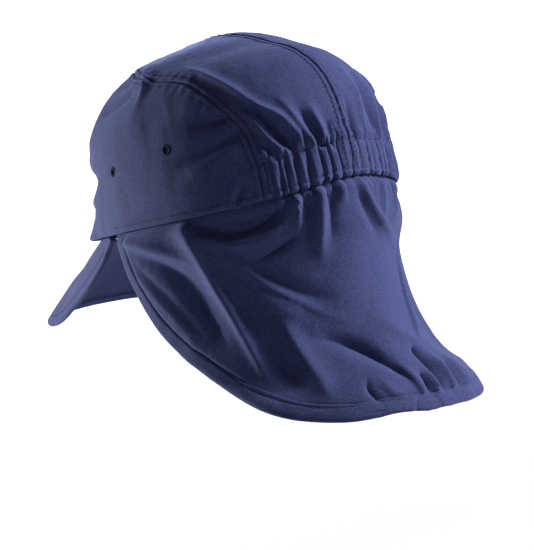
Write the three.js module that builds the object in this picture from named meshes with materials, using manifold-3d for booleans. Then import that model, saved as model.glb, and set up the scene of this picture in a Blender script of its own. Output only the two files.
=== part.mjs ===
// Legionnaire cap: soft domed crown, curved peak and a bound neck flap, in the form it keeps when worn.
// Millimetres, +Z up. The peak points to -Y, the wearer's left is +X, and the origin is the centre of
// the head opening at the height of the rim. Angles are degrees round the rim from the front centre.
import * as THREE from 'three';
import { mergeVertices } from 'three/addons/utils/BufferGeometryUtils.js';
import Module from 'manifold-3d';

// Crown
const RIM_LENGTH = 196;
const RIM_WIDTH = 160;
const CROWN_HEIGHT = 100;
const CROWN_FULLNESS = 2.85;
const CROWN_LEAN = 8;
const BACK_RISE = 7;
const BACK_RISE_ANGLE = 30;
const CROWN_WALL = 1.4;
const BROW_ARCH_HEIGHT = 90.5;
const SEAM_GAP = 0.3;
const HANG_GAP = 0.4;
const FOLD_WIDTH = 6;
const FOLD_LIFT = 2.2;

// Shirred back edge, drawn in by its elastic between the two side seams
const BAND_HEIGHT = 18.5;
const BAND_EDGE_ANGLE = 144.4;
const GATHERS_PER_SIDE = 6;
const GATHER_DEPTH = 1.8;
const GATHER_FADE = 24;
const GATHER_END_SHARE = 0.88;

// Peak
const PEAK_END_ANGLE = 77.5;
const PEAK_LENGTH = 64.5;
const PEAK_DROP = 43.5;
const PEAK_ARCH = 6;
const PEAK_WALL = 2.6;

// Neck flap and its binding
const FLAP_DROP = 128.5;
const FLAP_FLARE = 27.5;
const FLAP_WALL = 1.2;
const FLAP_TUCK = 0.4;
const FLARE_START_ANGLE = 70;
const FLARE_FULL_ANGLE = 135;
const SIDE_HOLLOW_SHARE = 0.4;
const FLAP_FOLD_WIDTH = 8;
const FLAP_FOLD_LIFT = 4;
const BINDING_WIDTH = 8;
const BINDING_TAPE = 0.5;

// Stitched eyelets
const EYELET_WIDTH = 6.6;
const EYELET_BORE = 2.4;
const EYELET_PROUD = 0.4;

// Mesh steps
const SEAM_STEPS = 15;
const BAND_STEPS = 2;
const STEPS_PER_GATHER = 4;
const FRONT_ROWS = 12;
const FLAP_COLUMNS_PER_SIDE = 25;
const FLAP_ROWS = 14;
const PEAK_COLUMNS = 26;
const PEAK_ROWS = 7;
const EYELET_SIDES = 12;
const ROUND_ROWS_SHARE = 0.35;
const MERGE_DISTANCE = 1e-3;

const CLOTH_COLOUR = 0x4a5080;
const CLOTH_DARK = 0x3c4170;
const THREAD_COLOUR = 0x1e2444;

// Side seam from the top of the shirred edge forward to the arch over the brow.
// Columns: angle share of the band's edge, height share from the band's top to the arch
const SIDE_SEAM = [
  [1, 0], [0.994, 0.073], [0.98, 0.257], [0.938, 0.444], [0.882, 0.618], [0.825, 0.729],
  [0.753, 0.789], [0.666, 0.831], [0.512, 0.902], [0.325, 0.965], [0.139, 0.993], [0, 1],
];

// Folds and dents of the crown, the same on both sides.
// Columns: angle and height share along the fold, then width share and lift share
const CROWN_FOLDS = [
  { path: [[126, 0.753], [138, 0.639], [147.5, 0.491], [155, 0.403], [162, 0.23]], width: 0.9, lift: 1 },
  { path: [[146, 0.48], [149, 0.393], [153.4, 0.299], [158, 0.218]], width: 0.8, lift: -0.95 },
  { path: [[143.6, 0.45], [147, 0.341], [152.6, 0.242]], width: 0.6, lift: 0.5 },
  { path: [[162, 0.392], [166, 0.22]], width: 0.7, lift: -0.6 },
  { path: [[177, 0.34], [177, 0.2]], width: 0.6, lift: -0.4 },
  { path: [[68, 0.9], [88, 0.8], [95, 0.7], [93.6, 0.612]], width: 0.9, lift: 0.7 },
  { path: [[62, 0.68], [80, 0.69], [94, 0.693]], width: 1.3, lift: -0.9 },
  { path: [[139, 0.365], [128, 0.318], [118, 0.282]], width: 1.5, lift: -0.9 },
  { path: [[132, 0.47], [126, 0.44]], width: 1.8, lift: -0.6 },
  { path: [[138, 0.11], [133, 0.03]], width: 0.8, lift: -0.5 },
  { path: [[62, 0.3], [48, 0.34], [34, 0.33]], width: 1.6, lift: -2.2 },
  { path: [[118, 0.86], [180, 0.9]], width: 5, lift: -1.8 },
  { path: [[53, 0.5], [53, 0.8]], width: 3.3, lift: 1.1 },
  { path: [[60, 0.14], [48, 0.14], [34, 0.14]], width: 1.5, lift: -1 },
];

// Free edge of the peak from the front centre towards its end at the temple.
// Columns: half width share, reach share, drop share
const PEAK_EDGE = [
  [0, 1, 0.8], [0.346, 0.96, 0.822], [0.602, 0.823, 0.9], [0.743, 0.597, 0.989],
  [0.832, 0.258, 0.978], [0.909, -0.145, 0.822], [0.967, -0.581, 0.6], [0.992, -0.935, 0.311],
];

// Outline of the flap from the temple, down its front edge and along the hem to the back centre.
// Columns: share of the way round from the peak's end, drop share on the left, drop share on the right
const FLAP_OUTLINE = [
  [0, 0, 0], [0.032, 0.05, 0.05], [0.063, 0.2, 0.2], [0.136, 0.36, 0.36], [0.23, 0.516, 0.53],
  [0.327, 0.633, 0.66], [0.439, 0.739, 0.79], [0.548, 0.819, 0.89], [0.648, 0.887, 0.955],
  [0.783, 0.943, 0.985], [0.902, 0.986, 0.998], [1, 1, 1],
];

// Fall of the flap behind the head. Columns: drop share, flare share
const FLAP_PROFILE = [
  [0, 0], [0.151, -0.07], [0.262, -0.21], [0.421, -0.225], [0.524, -0.17], [0.635, -0.03],
  [0.714, 0.14], [0.77, 0.34], [0.817, 0.56], [0.881, 0.745], [0.937, 0.86], [1, 0.99], [1.2, 1.13],
];

// Folds of the flap. Columns: angle and drop share along the fold, then width share and lift share
const FLAP_FOLDS = [
  { path: [[110, 0.07], [118, 0.297], [126, 0.474], [133.3, 0.729]], width: 1.2, lift: 1.4 },
  { path: [[93, 0.12], [104.7, 0.365], [110, 0.48]], width: 1, lift: -0.9 },
  { path: [[124, 0.166], [135.4, 0.292], [147, 0.406], [164.6, 0.556]], width: 0.55, lift: 0.4 },
  { path: [[119, 0.04], [129.3, 0.09], [140.7, 0.1], [150, 0.05]], width: 1, lift: -0.8 },
  { path: [[155, 0.06], [154, 0.143]], width: 0.55, lift: 0.45 },
  { path: [[163.6, 0.04], [162.3, 0.242]], width: 0.6, lift: 0.6 },
  { path: [[145.5, 0.167], [149.4, 0.263]], width: 0.9, lift: -0.5 },
  { path: [[143.7, 0.615], [148, 0.796]], width: 1.2, lift: 0.8 },
  { path: [[166, 0.722], [175.7, 0.863]], width: 1.1, lift: -1.1 },
  { path: [[187, 0.804], [183, 0.93]], width: 0.7, lift: -0.7 },
  { path: [[184.2, 0.04], [188.8, 0.147], [206, 0.24]], width: 0.6, lift: 0.4 },
  { path: [[211.5, 0.28], [205.6, 0.543], [199.3, 0.713]], width: 0.8, lift: -0.6 },
  { path: [[222, 0.6], [214, 0.82]], width: 1.1, lift: 0.8 },
  { path: [[240, 0.1], [233, 0.4], [226, 0.62]], width: 1.2, lift: -0.8 },
  { path: [[250, 0.08], [243, 0.3], [236, 0.5]], width: 1.2, lift: 1 },
];

// Eyelets on each side. Columns: angle, height share
const EYELETS = [[85.2, 0.334], [112.3, 0.378]];

const radians = THREE.MathUtils.degToRad;
const smooth = THREE.MathUtils.smoothstep;
const mix = THREE.MathUtils.lerp;
const halfTurn = 180;

// Degrees from the back centre, the same on both sides
function fromBack(angle) {
  return halfTurn - Math.abs(THREE.MathUtils.euclideanModulo(angle + halfTurn, 2 * halfTurn) - halfTurn);
}

function rimHeight(angle) {
  return BACK_RISE * Math.exp(-((fromBack(angle) / BACK_RISE_ANGLE) ** 2));
}

// Reads a two column table at a value of its first column, on a smooth curve through the rows
function readTable(table, at) {
  const last = table.length - 1;
  let row = 1;
  while (row < last && table[row][0] < at) row += 1;
  const slope = (index) => {
    const [before, after] = [table[Math.max(index - 1, 0)], table[Math.min(index + 1, last)]];
    return (after[1] - before[1]) / (after[0] - before[0]);
  };
  const [low, high] = [table[row - 1], table[row]];
  const run = high[0] - low[0];
  const t = THREE.MathUtils.clamp((at - low[0]) / run, 0, 1);
  const curve = (2 * t ** 3 - 3 * t ** 2) * (low[1] - high[1]) + low[1];
  return curve + run * ((t ** 3 - 2 * t ** 2 + t) * slope(row - 1) + (t ** 3 - t ** 2) * slope(row));
}

// The crown is drawn on a disc: the rim is its edge, the top its centre, and its radius the climb.
function climbOfHeight(share) {
  const radius = Math.sqrt(Math.max(0, 1 - share ** CROWN_FULLNESS));
  return Math.atan2(radius, share) / (Math.PI / 2);
}

// Height share of a climb, by halving the interval
function heightOfClimb(climb) {
  let [low, high] = [0, 1];
  for (let step = 0; step < 40; step += 1) {
    const middle = (low + high) / 2;
    if (climbOfHeight(middle) > climb) low = middle;
    else high = middle;
  }
  return (low + high) / 2;
}

function discPoint(angle, climb) {
  return new THREE.Vector2(climb * Math.sin(radians(angle)), -climb * Math.cos(radians(angle)));
}

// Plain dome without folds
function domePoint(disc) {
  const climb = Math.min(disc.length(), 1);
  const angle = THREE.MathUtils.radToDeg(Math.atan2(disc.x, -disc.y));
  const share = heightOfClimb(climb);
  const spread = Math.sqrt(Math.max(0, 1 - share ** CROWN_FULLNESS));
  const rise = rimHeight(angle);
  return new THREE.Vector3(
    (RIM_WIDTH / 2) * Math.sin(radians(angle)) * spread,
    (-RIM_LENGTH / 2) * Math.cos(radians(angle)) * spread + CROWN_LEAN * share ** 2,
    rise + (CROWN_HEIGHT - rise) * share,
  );
}

function domeOutward(point) {
  const lean = CROWN_LEAN * (point.z / CROWN_HEIGHT) ** 2;
  return new THREE.Vector3(
    point.x / (RIM_WIDTH / 2) ** 2,
    (point.y - lean) / (RIM_LENGTH / 2) ** 2,
    (Math.max(point.z, 0) / CROWN_HEIGHT) ** (CROWN_FULLNESS - 1) / CROWN_HEIGHT,
  ).normalize();
}

// Depth of a set of soft ridges and valleys that follow short paths
function foldLift(point, folds, width, lift) {
  let total = 0;
  for (const fold of folds) {
    let nearest = Infinity;
    for (let step = 1; step < fold.line.length; step += 1) {
      const piece = new THREE.Line3(fold.line[step - 1], fold.line[step]);
      const foot = piece.closestPointToPoint(point, true, new THREE.Vector3());
      nearest = Math.min(nearest, foot.distanceTo(point));
    }
    total += fold.lift * lift * Math.exp(-((nearest / (fold.width * width)) ** 2));
  }
  return total;
}

const crownFolds = CROWN_FOLDS.map((fold) => ({
  ...fold,
  line: fold.path.map(([angle, share]) => domePoint(discPoint(angle, climbOfHeight(share)))),
}));

// Rounded gathers with sharp valleys, fading to nothing at a distance from the shirred edge
function gatherLift(angle, distance) {
  const across = fromBack(angle) / (halfTurn - BAND_EDGE_ANGLE);
  if (across >= 1) return 0;
  const wave = Math.abs(Math.sin(Math.PI * GATHERS_PER_SIDE * across)) - 0.5;
  const side = 1 - smooth(across, GATHER_END_SHARE, 1);
  return GATHER_DEPTH * wave * side * (1 - smooth(distance, 0, GATHER_FADE));
}

// Outer face of the crown cloth
function crownPoint(x, y) {
  const disc = new THREE.Vector2(x, y);
  const point = domePoint(disc);
  const angle = THREE.MathUtils.radToDeg(Math.atan2(disc.x, -disc.y));
  const oneSide = new THREE.Vector3(Math.abs(point.x), point.y, point.z);
  const lift = foldLift(oneSide, crownFolds, FOLD_WIDTH, FOLD_LIFT)
    + gatherLift(angle, point.z - rimHeight(angle) - BAND_HEIGHT);
  return point.addScaledVector(domeOutward(point), lift);
}

// Normal of a surface by central differences
function normalOf(surface, a, b, step) {
  const alongA = surface(a + step, b).sub(surface(a - step, b));
  const alongB = surface(a, b + step).sub(surface(a, b - step));
  return alongA.cross(alongB).normalize();
}

function clothMaterial(color, roughness) {
  return new THREE.MeshStandardMaterial({ color, roughness, metalness: 0 });
}

function namedMesh(name, geometry, color, roughness = 0.85) {
  const mesh = new THREE.Mesh(geometry, clothMaterial(color, roughness));
  mesh.name = name;
  return mesh;
}

// Drops triangles that have closed up to a line and merges shared corners
function closedGeometry(vertices, triangles) {
  const raw = new THREE.BufferGeometry();
  raw.setAttribute('position', new THREE.Float32BufferAttribute(vertices, 3));
  raw.setIndex(triangles);
  const merged = mergeVertices(raw, MERGE_DISTANCE);
  const kept = [];
  const index = merged.index.array;
  for (let at = 0; at < index.length; at += 3) {
    const [a, b, c] = [index[at], index[at + 1], index[at + 2]];
    if (a !== b && b !== c && c !== a) kept.push(a, b, c);
  }
  merged.setIndex(kept);
  return merged;
}

// Closed sheet of cloth of one wall between an outer grid and its inner copy.
// place(column, row) gives the surface's own coordinates, with columns running so that the
// normal of the grid points out.
function sheetGeometry({ surface, place, columns, rows, wall, step, proud = 0 }) {
  const vertices = [];
  const triangles = [];
  const count = (columns + 1) * (rows + 1);
  const inner = [];
  for (let row = 0; row <= rows; row += 1) {
    for (let column = 0; column <= columns; column += 1) {
      const [a, b] = place(column, row);
      const point = surface(a, b);
      const normal = normalOf(surface, a, b, step);
      vertices.push(...point.clone().addScaledVector(normal, proud).toArray());
      inner.push(...point.addScaledVector(normal, proud - wall).toArray());
    }
  }
  vertices.push(...inner);
  const at = (column, row) => row * (columns + 1) + column;
  const quad = (a, b, c, d) => triangles.push(a, b, c, a, c, d);
  for (let row = 0; row < rows; row += 1) {
    for (let column = 0; column < columns; column += 1) {
      const [a, b] = [at(column, row), at(column + 1, row)];
      const [c, d] = [at(column + 1, row + 1), at(column, row + 1)];
      quad(a, b, c, d);
      quad(a + count, d + count, c + count, b + count);
    }
  }
  for (let column = 0; column < columns; column += 1) {
    const [a, b] = [at(column, 0), at(column + 1, 0)];
    const [c, d] = [at(column, rows), at(column + 1, rows)];
    quad(b, a, a + count, b + count);
    quad(c, d, d + count, c + count);
  }
  for (let row = 0; row < rows; row += 1) {
    const [a, b] = [at(0, row), at(0, row + 1)];
    const [c, d] = [at(columns, row), at(columns, row + 1)];
    quad(a, b, b + count, a + count);
    quad(d, c, c + count, d + count);
  }
  return closedGeometry(vertices, triangles);
}

// Steps for slopes: on the disc, in degrees or millimetres of the flap, and as a share of the peak
const DISC_STEP = 0.004;
const FLAP_STEP = 0.4;
const PEAK_STEP = 0.01;

const climbPerMillimetre = 1 / (Math.PI / 2 * (RIM_LENGTH + RIM_WIDTH) / 4 + CROWN_HEIGHT / 4);
const halfGapClimb = (SEAM_GAP / 2) * climbPerMillimetre;
const halfGapAngle = THREE.MathUtils.radToDeg(SEAM_GAP / RIM_WIDTH);

// Side seam on the disc, moved by half the seam gap to one side of its line
function seamStations(sideways) {
  const points = SIDE_SEAM.map(([angleShare, heightShare]) => {
    const angle = angleShare * (BAND_EDGE_ANGLE + sideways * halfGapAngle);
    const height = mix(BAND_HEIGHT, BROW_ARCH_HEIGHT, heightShare) / CROWN_HEIGHT;
    return discPoint(angle, climbOfHeight(height) - sideways * halfGapClimb);
  });
  const curve = new THREE.SplineCurve(points);
  return Array.from({ length: SEAM_STEPS + 1 }, (_, step) => curve.getPointAt(step / SEAM_STEPS));
}

const frontSeam = seamStations(-1);
const rearSeam = seamStations(1);
const bandClimb = climbOfHeight(BAND_HEIGHT / CROWN_HEIGHT);

// Front and sides in one piece, from the rim up to the side seams
function frontPanelGeometry() {
  const columns = 2 * SEAM_STEPS;
  const place = (column, row) => {
    const station = Math.abs(column - SEAM_STEPS);
    const side = Math.sign(column - SEAM_STEPS);
    const top = frontSeam[SEAM_STEPS - station];
    const foot = discPoint((BAND_EDGE_ANGLE - halfGapAngle) * (station / SEAM_STEPS), 1);
    const at = foot.lerp(top, row / FRONT_ROWS);
    return [side * at.x, at.y];
  };
  return sheetGeometry({
    surface: crownPoint, place, columns, rows: FRONT_ROWS, wall: CROWN_WALL, step: DISC_STEP,
  });
}

// One of the two rear panels, from the shirred back edge over the top to the brow arch
function rearPanelGeometry(side) {
  const columns = GATHERS_PER_SIDE * STEPS_PER_GATHER;
  const rows = BAND_STEPS + SEAM_STEPS;
  const archClimb = rearSeam[SEAM_STEPS].length();
  const centre = (SEAM_GAP / 2) / (RIM_WIDTH / 2);
  const place = (column, row) => {
    const across = side > 0 ? 1 - column / columns : column / columns;
    const bandShare = row / BAND_STEPS;
    const seamShare = (row - BAND_STEPS) / SEAM_STEPS;
    const inBand = row <= BAND_STEPS;
    const seamEnd = inBand
      ? discPoint(BAND_EDGE_ANGLE + halfGapAngle, mix(1, bandClimb, bandShare))
      : rearSeam[row - BAND_STEPS];
    if (row === BAND_STEPS) seamEnd.copy(rearSeam[0]);
    const back = inBand ? mix(1, bandClimb, bandShare) : mix(bandClimb, -archClimb, seamShare);
    const straight = new THREE.Vector2(0, back).lerp(seamEnd, across);
    const endAngle = THREE.MathUtils.radToDeg(Math.atan2(seamEnd.x, -seamEnd.y));
    const round = discPoint(mix(halfTurn, endAngle, across), mix(Math.abs(back), seamEnd.length(), across));
    const at = round.lerp(straight, smooth(seamShare, 0, ROUND_ROWS_SHARE));
    return [side * Math.max(at.x, centre), at.y];
  };
  return sheetGeometry({
    surface: crownPoint, place, columns, rows, wall: CROWN_WALL, step: DISC_STEP,
  });
}

function solidOf(wasm, geometry) {
  const plain = geometry.clone();
  plain.deleteAttribute('normal');
  plain.deleteAttribute('uv');
  const merged = mergeVertices(plain, MERGE_DISTANCE);
  return new wasm.Manifold(new wasm.Mesh({
    numProp: 3,
    vertProperties: new Float32Array(merged.attributes.position.array),
    triVerts: new Uint32Array(merged.index.array),
  }));
}

function geometryOf(solid) {
  const mesh = solid.getMesh();
  const geometry = new THREE.BufferGeometry();
  geometry.setAttribute('position', new THREE.Float32BufferAttribute(mesh.vertProperties, 3));
  geometry.setIndex(Array.from(mesh.triVerts));
  return geometry;
}

// Centre and axis of an eyelet in the middle of the wall
function eyeletSeat(angle, share, side) {
  const disc = discPoint(side * angle, climbOfHeight(share));
  const axis = normalOf(crownPoint, disc.x, disc.y, DISC_STEP);
  return { point: crownPoint(disc.x, disc.y).addScaledVector(axis, -CROWN_WALL / 2), axis };
}

function alongAxis(geometry, seat) {
  const turn = new THREE.Quaternion().setFromUnitVectors(new THREE.Vector3(0, 1, 0), seat.axis);
  return geometry.applyQuaternion(turn).translate(...seat.point.toArray());
}

function eyeletHoleGeometry(seat) {
  const radius = EYELET_WIDTH / 2 + SEAM_GAP;
  const length = CROWN_WALL + 2 * EYELET_WIDTH;
  return alongAxis(new THREE.CylinderGeometry(radius, radius, length, EYELET_SIDES), seat);
}

// Worked ring of thread, a little proud of the cloth on both faces
function eyeletGeometry(seat) {
  const [inside, outside] = [EYELET_BORE / 2, EYELET_WIDTH / 2];
  const crest = CROWN_WALL / 2 + EYELET_PROUD;
  const [middle, low] = [(inside + outside) / 2, crest / 2];
  const profile = [[inside, -low], [middle, -crest], [outside, -low], [outside, low], [middle, crest],
    [inside, low], [inside, -low]]
    .map(([radius, height]) => new THREE.Vector2(radius, height));
  const ring = new THREE.LatheGeometry(profile, EYELET_SIDES);
  ring.deleteAttribute('normal');
  ring.deleteAttribute('uv');
  return alongAxis(mergeVertices(ring, MERGE_DISTANCE), seat);
}

// Point under the rim of the crown, moved out from the plain dome's edge
function rimPoint(angle, out) {
  const disc = discPoint(angle, 1);
  const point = domePoint(disc);
  return point.addScaledVector(domeOutward(point).setZ(0).normalize(), out);
}

// Free edge of the peak as one smooth curve from end to end
function peakEdgeCurve() {
  const end = rimPoint(PEAK_END_ANGLE, 0);
  const half = PEAK_EDGE.map(([width, reach, drop]) => new THREE.Vector3(
    end.x * width, -RIM_LENGTH / 2 - PEAK_LENGTH * reach, -PEAK_DROP * drop));
  const points = [...half, end];
  const mirrored = points.slice(1).reverse().map((point) => point.clone().setX(-point.x));
  return new THREE.CatmullRomCurve3([...mirrored, ...points], false, 'centripetal');
}

const peakEdge = peakEdgeCurve();

function peakPoint(share, out) {
  const root = rimPoint(PEAK_END_ANGLE * share, 0);
  const edge = peakEdge.getPointAt(THREE.MathUtils.clamp((1 + share) / 2, 0, 1));
  const point = root.lerp(edge, out);
  point.z += PEAK_ARCH * Math.sin(Math.PI * out) * (1 - share ** 2) - HANG_GAP;
  return point;
}

function peakGeometry() {
  const surface = (across, out) => peakPoint(-across, out);
  const place = (column, row) => [mix(-1, 1, column / PEAK_COLUMNS), row / PEAK_ROWS];
  return sheetGeometry({
    surface, place, columns: PEAK_COLUMNS, rows: PEAK_ROWS, wall: PEAK_WALL, step: PEAK_STEP,
  });
}

// The flap hangs from the rim. Its coordinates are the angle and the drop below the rim.
function flapBase(angle, drop) {
  const share = drop / FLAP_DROP;
  const behind = smooth(halfTurn - fromBack(angle), FLARE_START_ANGLE, FLARE_FULL_ANGLE);
  const flare = readTable(FLAP_PROFILE, share);
  const out = FLAP_FLARE * flare * (flare > 0 ? behind : mix(SIDE_HOLLOW_SHARE, 1, behind));
  const point = rimPoint(angle, out + gatherLift(angle, drop) - FLAP_TUCK);
  point.z = rimHeight(angle) - HANG_GAP - drop;
  return point;
}

const flapFolds = FLAP_FOLDS.map((fold) => ({
  ...fold,
  line: fold.path.map(([angle, share]) => flapBase(angle, share * FLAP_DROP)),
}));

function flapPoint(angle, drop) {
  const point = flapBase(angle, drop);
  const lift = foldLift(point, flapFolds, FLAP_FOLD_WIDTH, FLAP_FOLD_LIFT)
    * smooth(drop, 0, FLAP_FOLD_WIDTH);
  return point.addScaledVector(new THREE.Vector3(point.x, point.y, 0).normalize(), lift);
}

const degreeLength = Math.PI * (RIM_LENGTH + RIM_WIDTH) / 2 / 360;

// Outline of the flap on one side, moved in from the edge: angle and drop along it
function flapOutline(side, inset) {
  const column = side > 0 ? 1 : 2;
  const points = FLAP_OUTLINE.map((row) => new THREE.Vector2(
    mix(PEAK_END_ANGLE, halfTurn, row[0]) * degreeLength, row[column] * FLAP_DROP));
  const curve = new THREE.SplineCurve(points);
  return (share) => {
    const point = curve.getPointAt(share);
    const along = curve.getTangentAt(share);
    const moved = new THREE.Vector2(point.x + along.y * inset, point.y - along.x * inset);
    if (share === 1) moved.x = halfTurn * degreeLength;
    const drop = share === 0 ? 0 : Math.max(moved.y, 0);
    const turn = moved.x / degreeLength;
    return [side > 0 ? turn : 2 * halfTurn - turn, drop];
  };
}

const FRONT_EDGE_SHARE = 0.47;

// Share of the outline at each station, so that the flap and its binding meet corner to corner
const OUTLINE_STATIONS = FLAP_ROWS + FLAP_COLUMNS_PER_SIDE;
function stationShare(station) {
  if (station <= FLAP_ROWS) return FRONT_EDGE_SHARE * (station / FLAP_ROWS);
  return mix(FRONT_EDGE_SHARE, 1, (station - FLAP_ROWS) / FLAP_COLUMNS_PER_SIDE);
}

// Cloth of the flap inside its binding, drawn between its four edges
function flapGeometry() {
  const inset = BINDING_WIDTH + SEAM_GAP;
  const outlines = { 1: flapOutline(1, inset), '-1': flapOutline(-1, inset) };
  const columns = 2 * FLAP_COLUMNS_PER_SIDE;
  const place = (column, row) => {
    const side = column <= FLAP_COLUMNS_PER_SIDE ? 1 : -1;
    const outline = outlines[side];
    const u = side > 0 ? column / FLAP_COLUMNS_PER_SIDE : 2 - column / FLAP_COLUMNS_PER_SIDE;
    const v = row / FLAP_ROWS;
    const [startAngle] = outline(0);
    const corner = outline(FRONT_EDGE_SHARE);
    const back = outline(1);
    const top = [mix(startAngle, halfTurn, u), 0];
    const bottom = outline(mix(FRONT_EDGE_SHARE, 1, u));
    const front = outline(FRONT_EDGE_SHARE * v);
    const rear = [halfTurn, back[1] * v];
    return [0, 1].map((axis) => mix(top[axis], bottom[axis], v) + mix(front[axis], rear[axis], u)
      - mix(mix([startAngle, 0][axis], [halfTurn, 0][axis], u), mix(corner[axis], back[axis], u), v));
  };
  return sheetGeometry({
    surface: flapPoint, place, columns, rows: FLAP_ROWS, wall: FLAP_WALL, step: FLAP_STEP,
  });
}

// Folded tape round the free edge of the flap
function bindingGeometry() {
  const edge = { 1: flapOutline(1, 0), '-1': flapOutline(-1, 0) };
  const inside = { 1: flapOutline(1, BINDING_WIDTH), '-1': flapOutline(-1, BINDING_WIDTH) };
  const place = (column, row) => {
    const side = column <= OUTLINE_STATIONS ? 1 : -1;
    const share = stationShare(side > 0 ? column : 2 * OUTLINE_STATIONS - column);
    const [a, b] = [inside[side](share), edge[side](share)];
    return [mix(a[0], b[0], row / 2), mix(a[1], b[1], row / 2)];
  };
  return sheetGeometry({
    surface: flapPoint, place, columns: 2 * OUTLINE_STATIONS, rows: 2, step: FLAP_STEP,
    wall: FLAP_WALL + 2 * BINDING_TAPE, proud: BINDING_TAPE,
  });
}

const wasm = await Module();
wasm.setup();

const cap = new THREE.Group();
const seats = [1, -1].flatMap((side) => EYELETS.map(([angle, share]) => eyeletSeat(angle, share, side)));
let front = solidOf(wasm, frontPanelGeometry());
for (const seat of seats) front = front.subtract(solidOf(wasm, eyeletHoleGeometry(seat)));
cap.add(namedMesh('front_panel', geometryOf(front), CLOTH_COLOUR));
cap.add(namedMesh('rear_panel_left', rearPanelGeometry(1), CLOTH_COLOUR));
cap.add(namedMesh('rear_panel_right', rearPanelGeometry(-1), CLOTH_COLOUR));
cap.add(namedMesh('peak', peakGeometry(), CLOTH_COLOUR));
cap.add(namedMesh('neck_flap', flapGeometry(), CLOTH_COLOUR));
cap.add(namedMesh('flap_binding', bindingGeometry(), CLOTH_DARK));
const eyeletNames = ['eyelet_left_front', 'eyelet_left_rear', 'eyelet_right_front', 'eyelet_right_rear'];
seats.forEach((seat, at) => {
  cap.add(namedMesh(eyeletNames[at], eyeletGeometry(seat), THREAD_COLOUR, 0.7));
});

export default cap;
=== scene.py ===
"""Legionnaire cap: crown, peak, eyelets, shirred back edge and bound neck flap, on the CAD frame."""
import math

import bpy
import numpy as np
from mathutils import Matrix, Vector


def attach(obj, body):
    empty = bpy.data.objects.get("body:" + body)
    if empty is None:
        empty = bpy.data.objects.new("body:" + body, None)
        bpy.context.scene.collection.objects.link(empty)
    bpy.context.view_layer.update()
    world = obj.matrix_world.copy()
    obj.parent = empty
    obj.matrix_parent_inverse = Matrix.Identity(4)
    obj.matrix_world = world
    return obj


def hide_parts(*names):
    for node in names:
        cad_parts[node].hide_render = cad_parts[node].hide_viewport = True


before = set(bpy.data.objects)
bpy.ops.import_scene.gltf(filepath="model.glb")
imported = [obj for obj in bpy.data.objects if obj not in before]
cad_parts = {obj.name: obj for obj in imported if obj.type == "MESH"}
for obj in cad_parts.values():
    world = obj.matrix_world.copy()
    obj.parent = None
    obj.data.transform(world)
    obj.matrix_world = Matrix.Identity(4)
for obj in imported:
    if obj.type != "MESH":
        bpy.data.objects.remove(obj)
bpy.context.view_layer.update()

# Sizes in millimetres, as the part has them. Angles are degrees round the rim from the front centre,
# growing to the wearer's left (+X), so that 180 is the back centre.
MM = 0.001
RIM_LENGTH = 196.0
RIM_WIDTH = 160.0
CROWN_HEIGHT = 100.0
CROWN_FULLNESS = 2.85
CROWN_LEAN = 8.0
BACK_RISE = 7.0
BACK_RISE_ANGLE = 30.0
CROWN_WALL = 1.3
BROW_ARCH_HEIGHT = 90.5
SEAM_GAP = 0.3
HANG_GAP = 0.4
BAND_HEIGHT = 18.5
BAND_EDGE_ANGLE = 144.4
BACK = 180.0
ROUND_PER_DEGREE = math.pi * (RIM_LENGTH + RIM_WIDTH) / 2 / 360
CROWN_RUN = 125.0
RIM_ROW = 3.2
RIM_ROW_ENDS = (79, 281)
BAND_ROW_ENDS = (147, 213)
TACK_REACH = 3

PEAK_END_ANGLE = 77.5
PEAK_LENGTH = 66.0
PEAK_DROP = 42.0
PEAK_ARCH = 6.0
PEAK_WALL = 3.0
PEAK_BORDER = 5.0
PEAK_RECESS = 0.9
PEAK_TUCK = 3.0
PEAK_ROW = 5.0
PEAK_ROW_REACH = 9.0
PEAK_CHART_HALF = 110.0

FLAP_DROP = 125.8
FLAP_FLARE = 27.5
FLAP_WALL = 1.0
FLAP_TUCK = 4.2
TUCK_DEPTH = 5.5
SCALLOP = 0.55
FLARE_START_ANGLE = 70.0
FLARE_FULL_ANGLE = 135.0
SIDE_HOLLOW_SHARE = 0.4
BINDING_WIDTH = 8.0
BINDING_WALL = 3.3
TAPE_CALM = 0.45
TAPE_ROW_SHARE = 0.73
TAPE_ROW_HEIGHT = 0.36

EYELET_WIDTH = 6.6
EYELET_BORE = 2.2
HOLE_SHARE = 0.36
EYELETS = [(85.2, 0.334), (112.3, 0.378)]

STITCH_LENGTH = 2.1
STITCH_PITCH = 2.9
STITCH_THICKNESS = 0.42
SEAM_ROW = 3.5
RIM_ROLL = 0.4
ALLOWANCE_REACH = 2.4
ALLOWANCE_GAP = 0.12
ALLOWANCE_WALL = 0.7

# Side seam. Columns: angle share of the band's edge, height share from the band's top to the arch
SIDE_SEAM = [
    (1, 0), (0.994, 0.073), (0.98, 0.257), (0.938, 0.444), (0.882, 0.618), (0.825, 0.729),
    (0.753, 0.789), (0.666, 0.831), (0.512, 0.902), (0.325, 0.965), (0.139, 0.993), (0, 1),
]

# How far the centre seam strays to the wearer's left. Columns: climb share from the apex, millimetres
CENTRE_SEAM_STRAY = [(-1, 0), (-0.5, 2), (0, 4), (0.35, 3), (0.6, 0), (0.85, -0.5), (1, 0)]

# Peak edge. Columns: half width share, reach share, drop share
PEAK_EDGE = [
    (0, 1, 0.8), (0.346, 0.96, 0.822), (0.602, 0.823, 0.9), (0.743, 0.597, 0.989),
    (0.832, 0.258, 0.978), (0.909, -0.145, 0.822), (0.967, -0.581, 0.6), (0.992, -0.935, 0.311),
]

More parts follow.
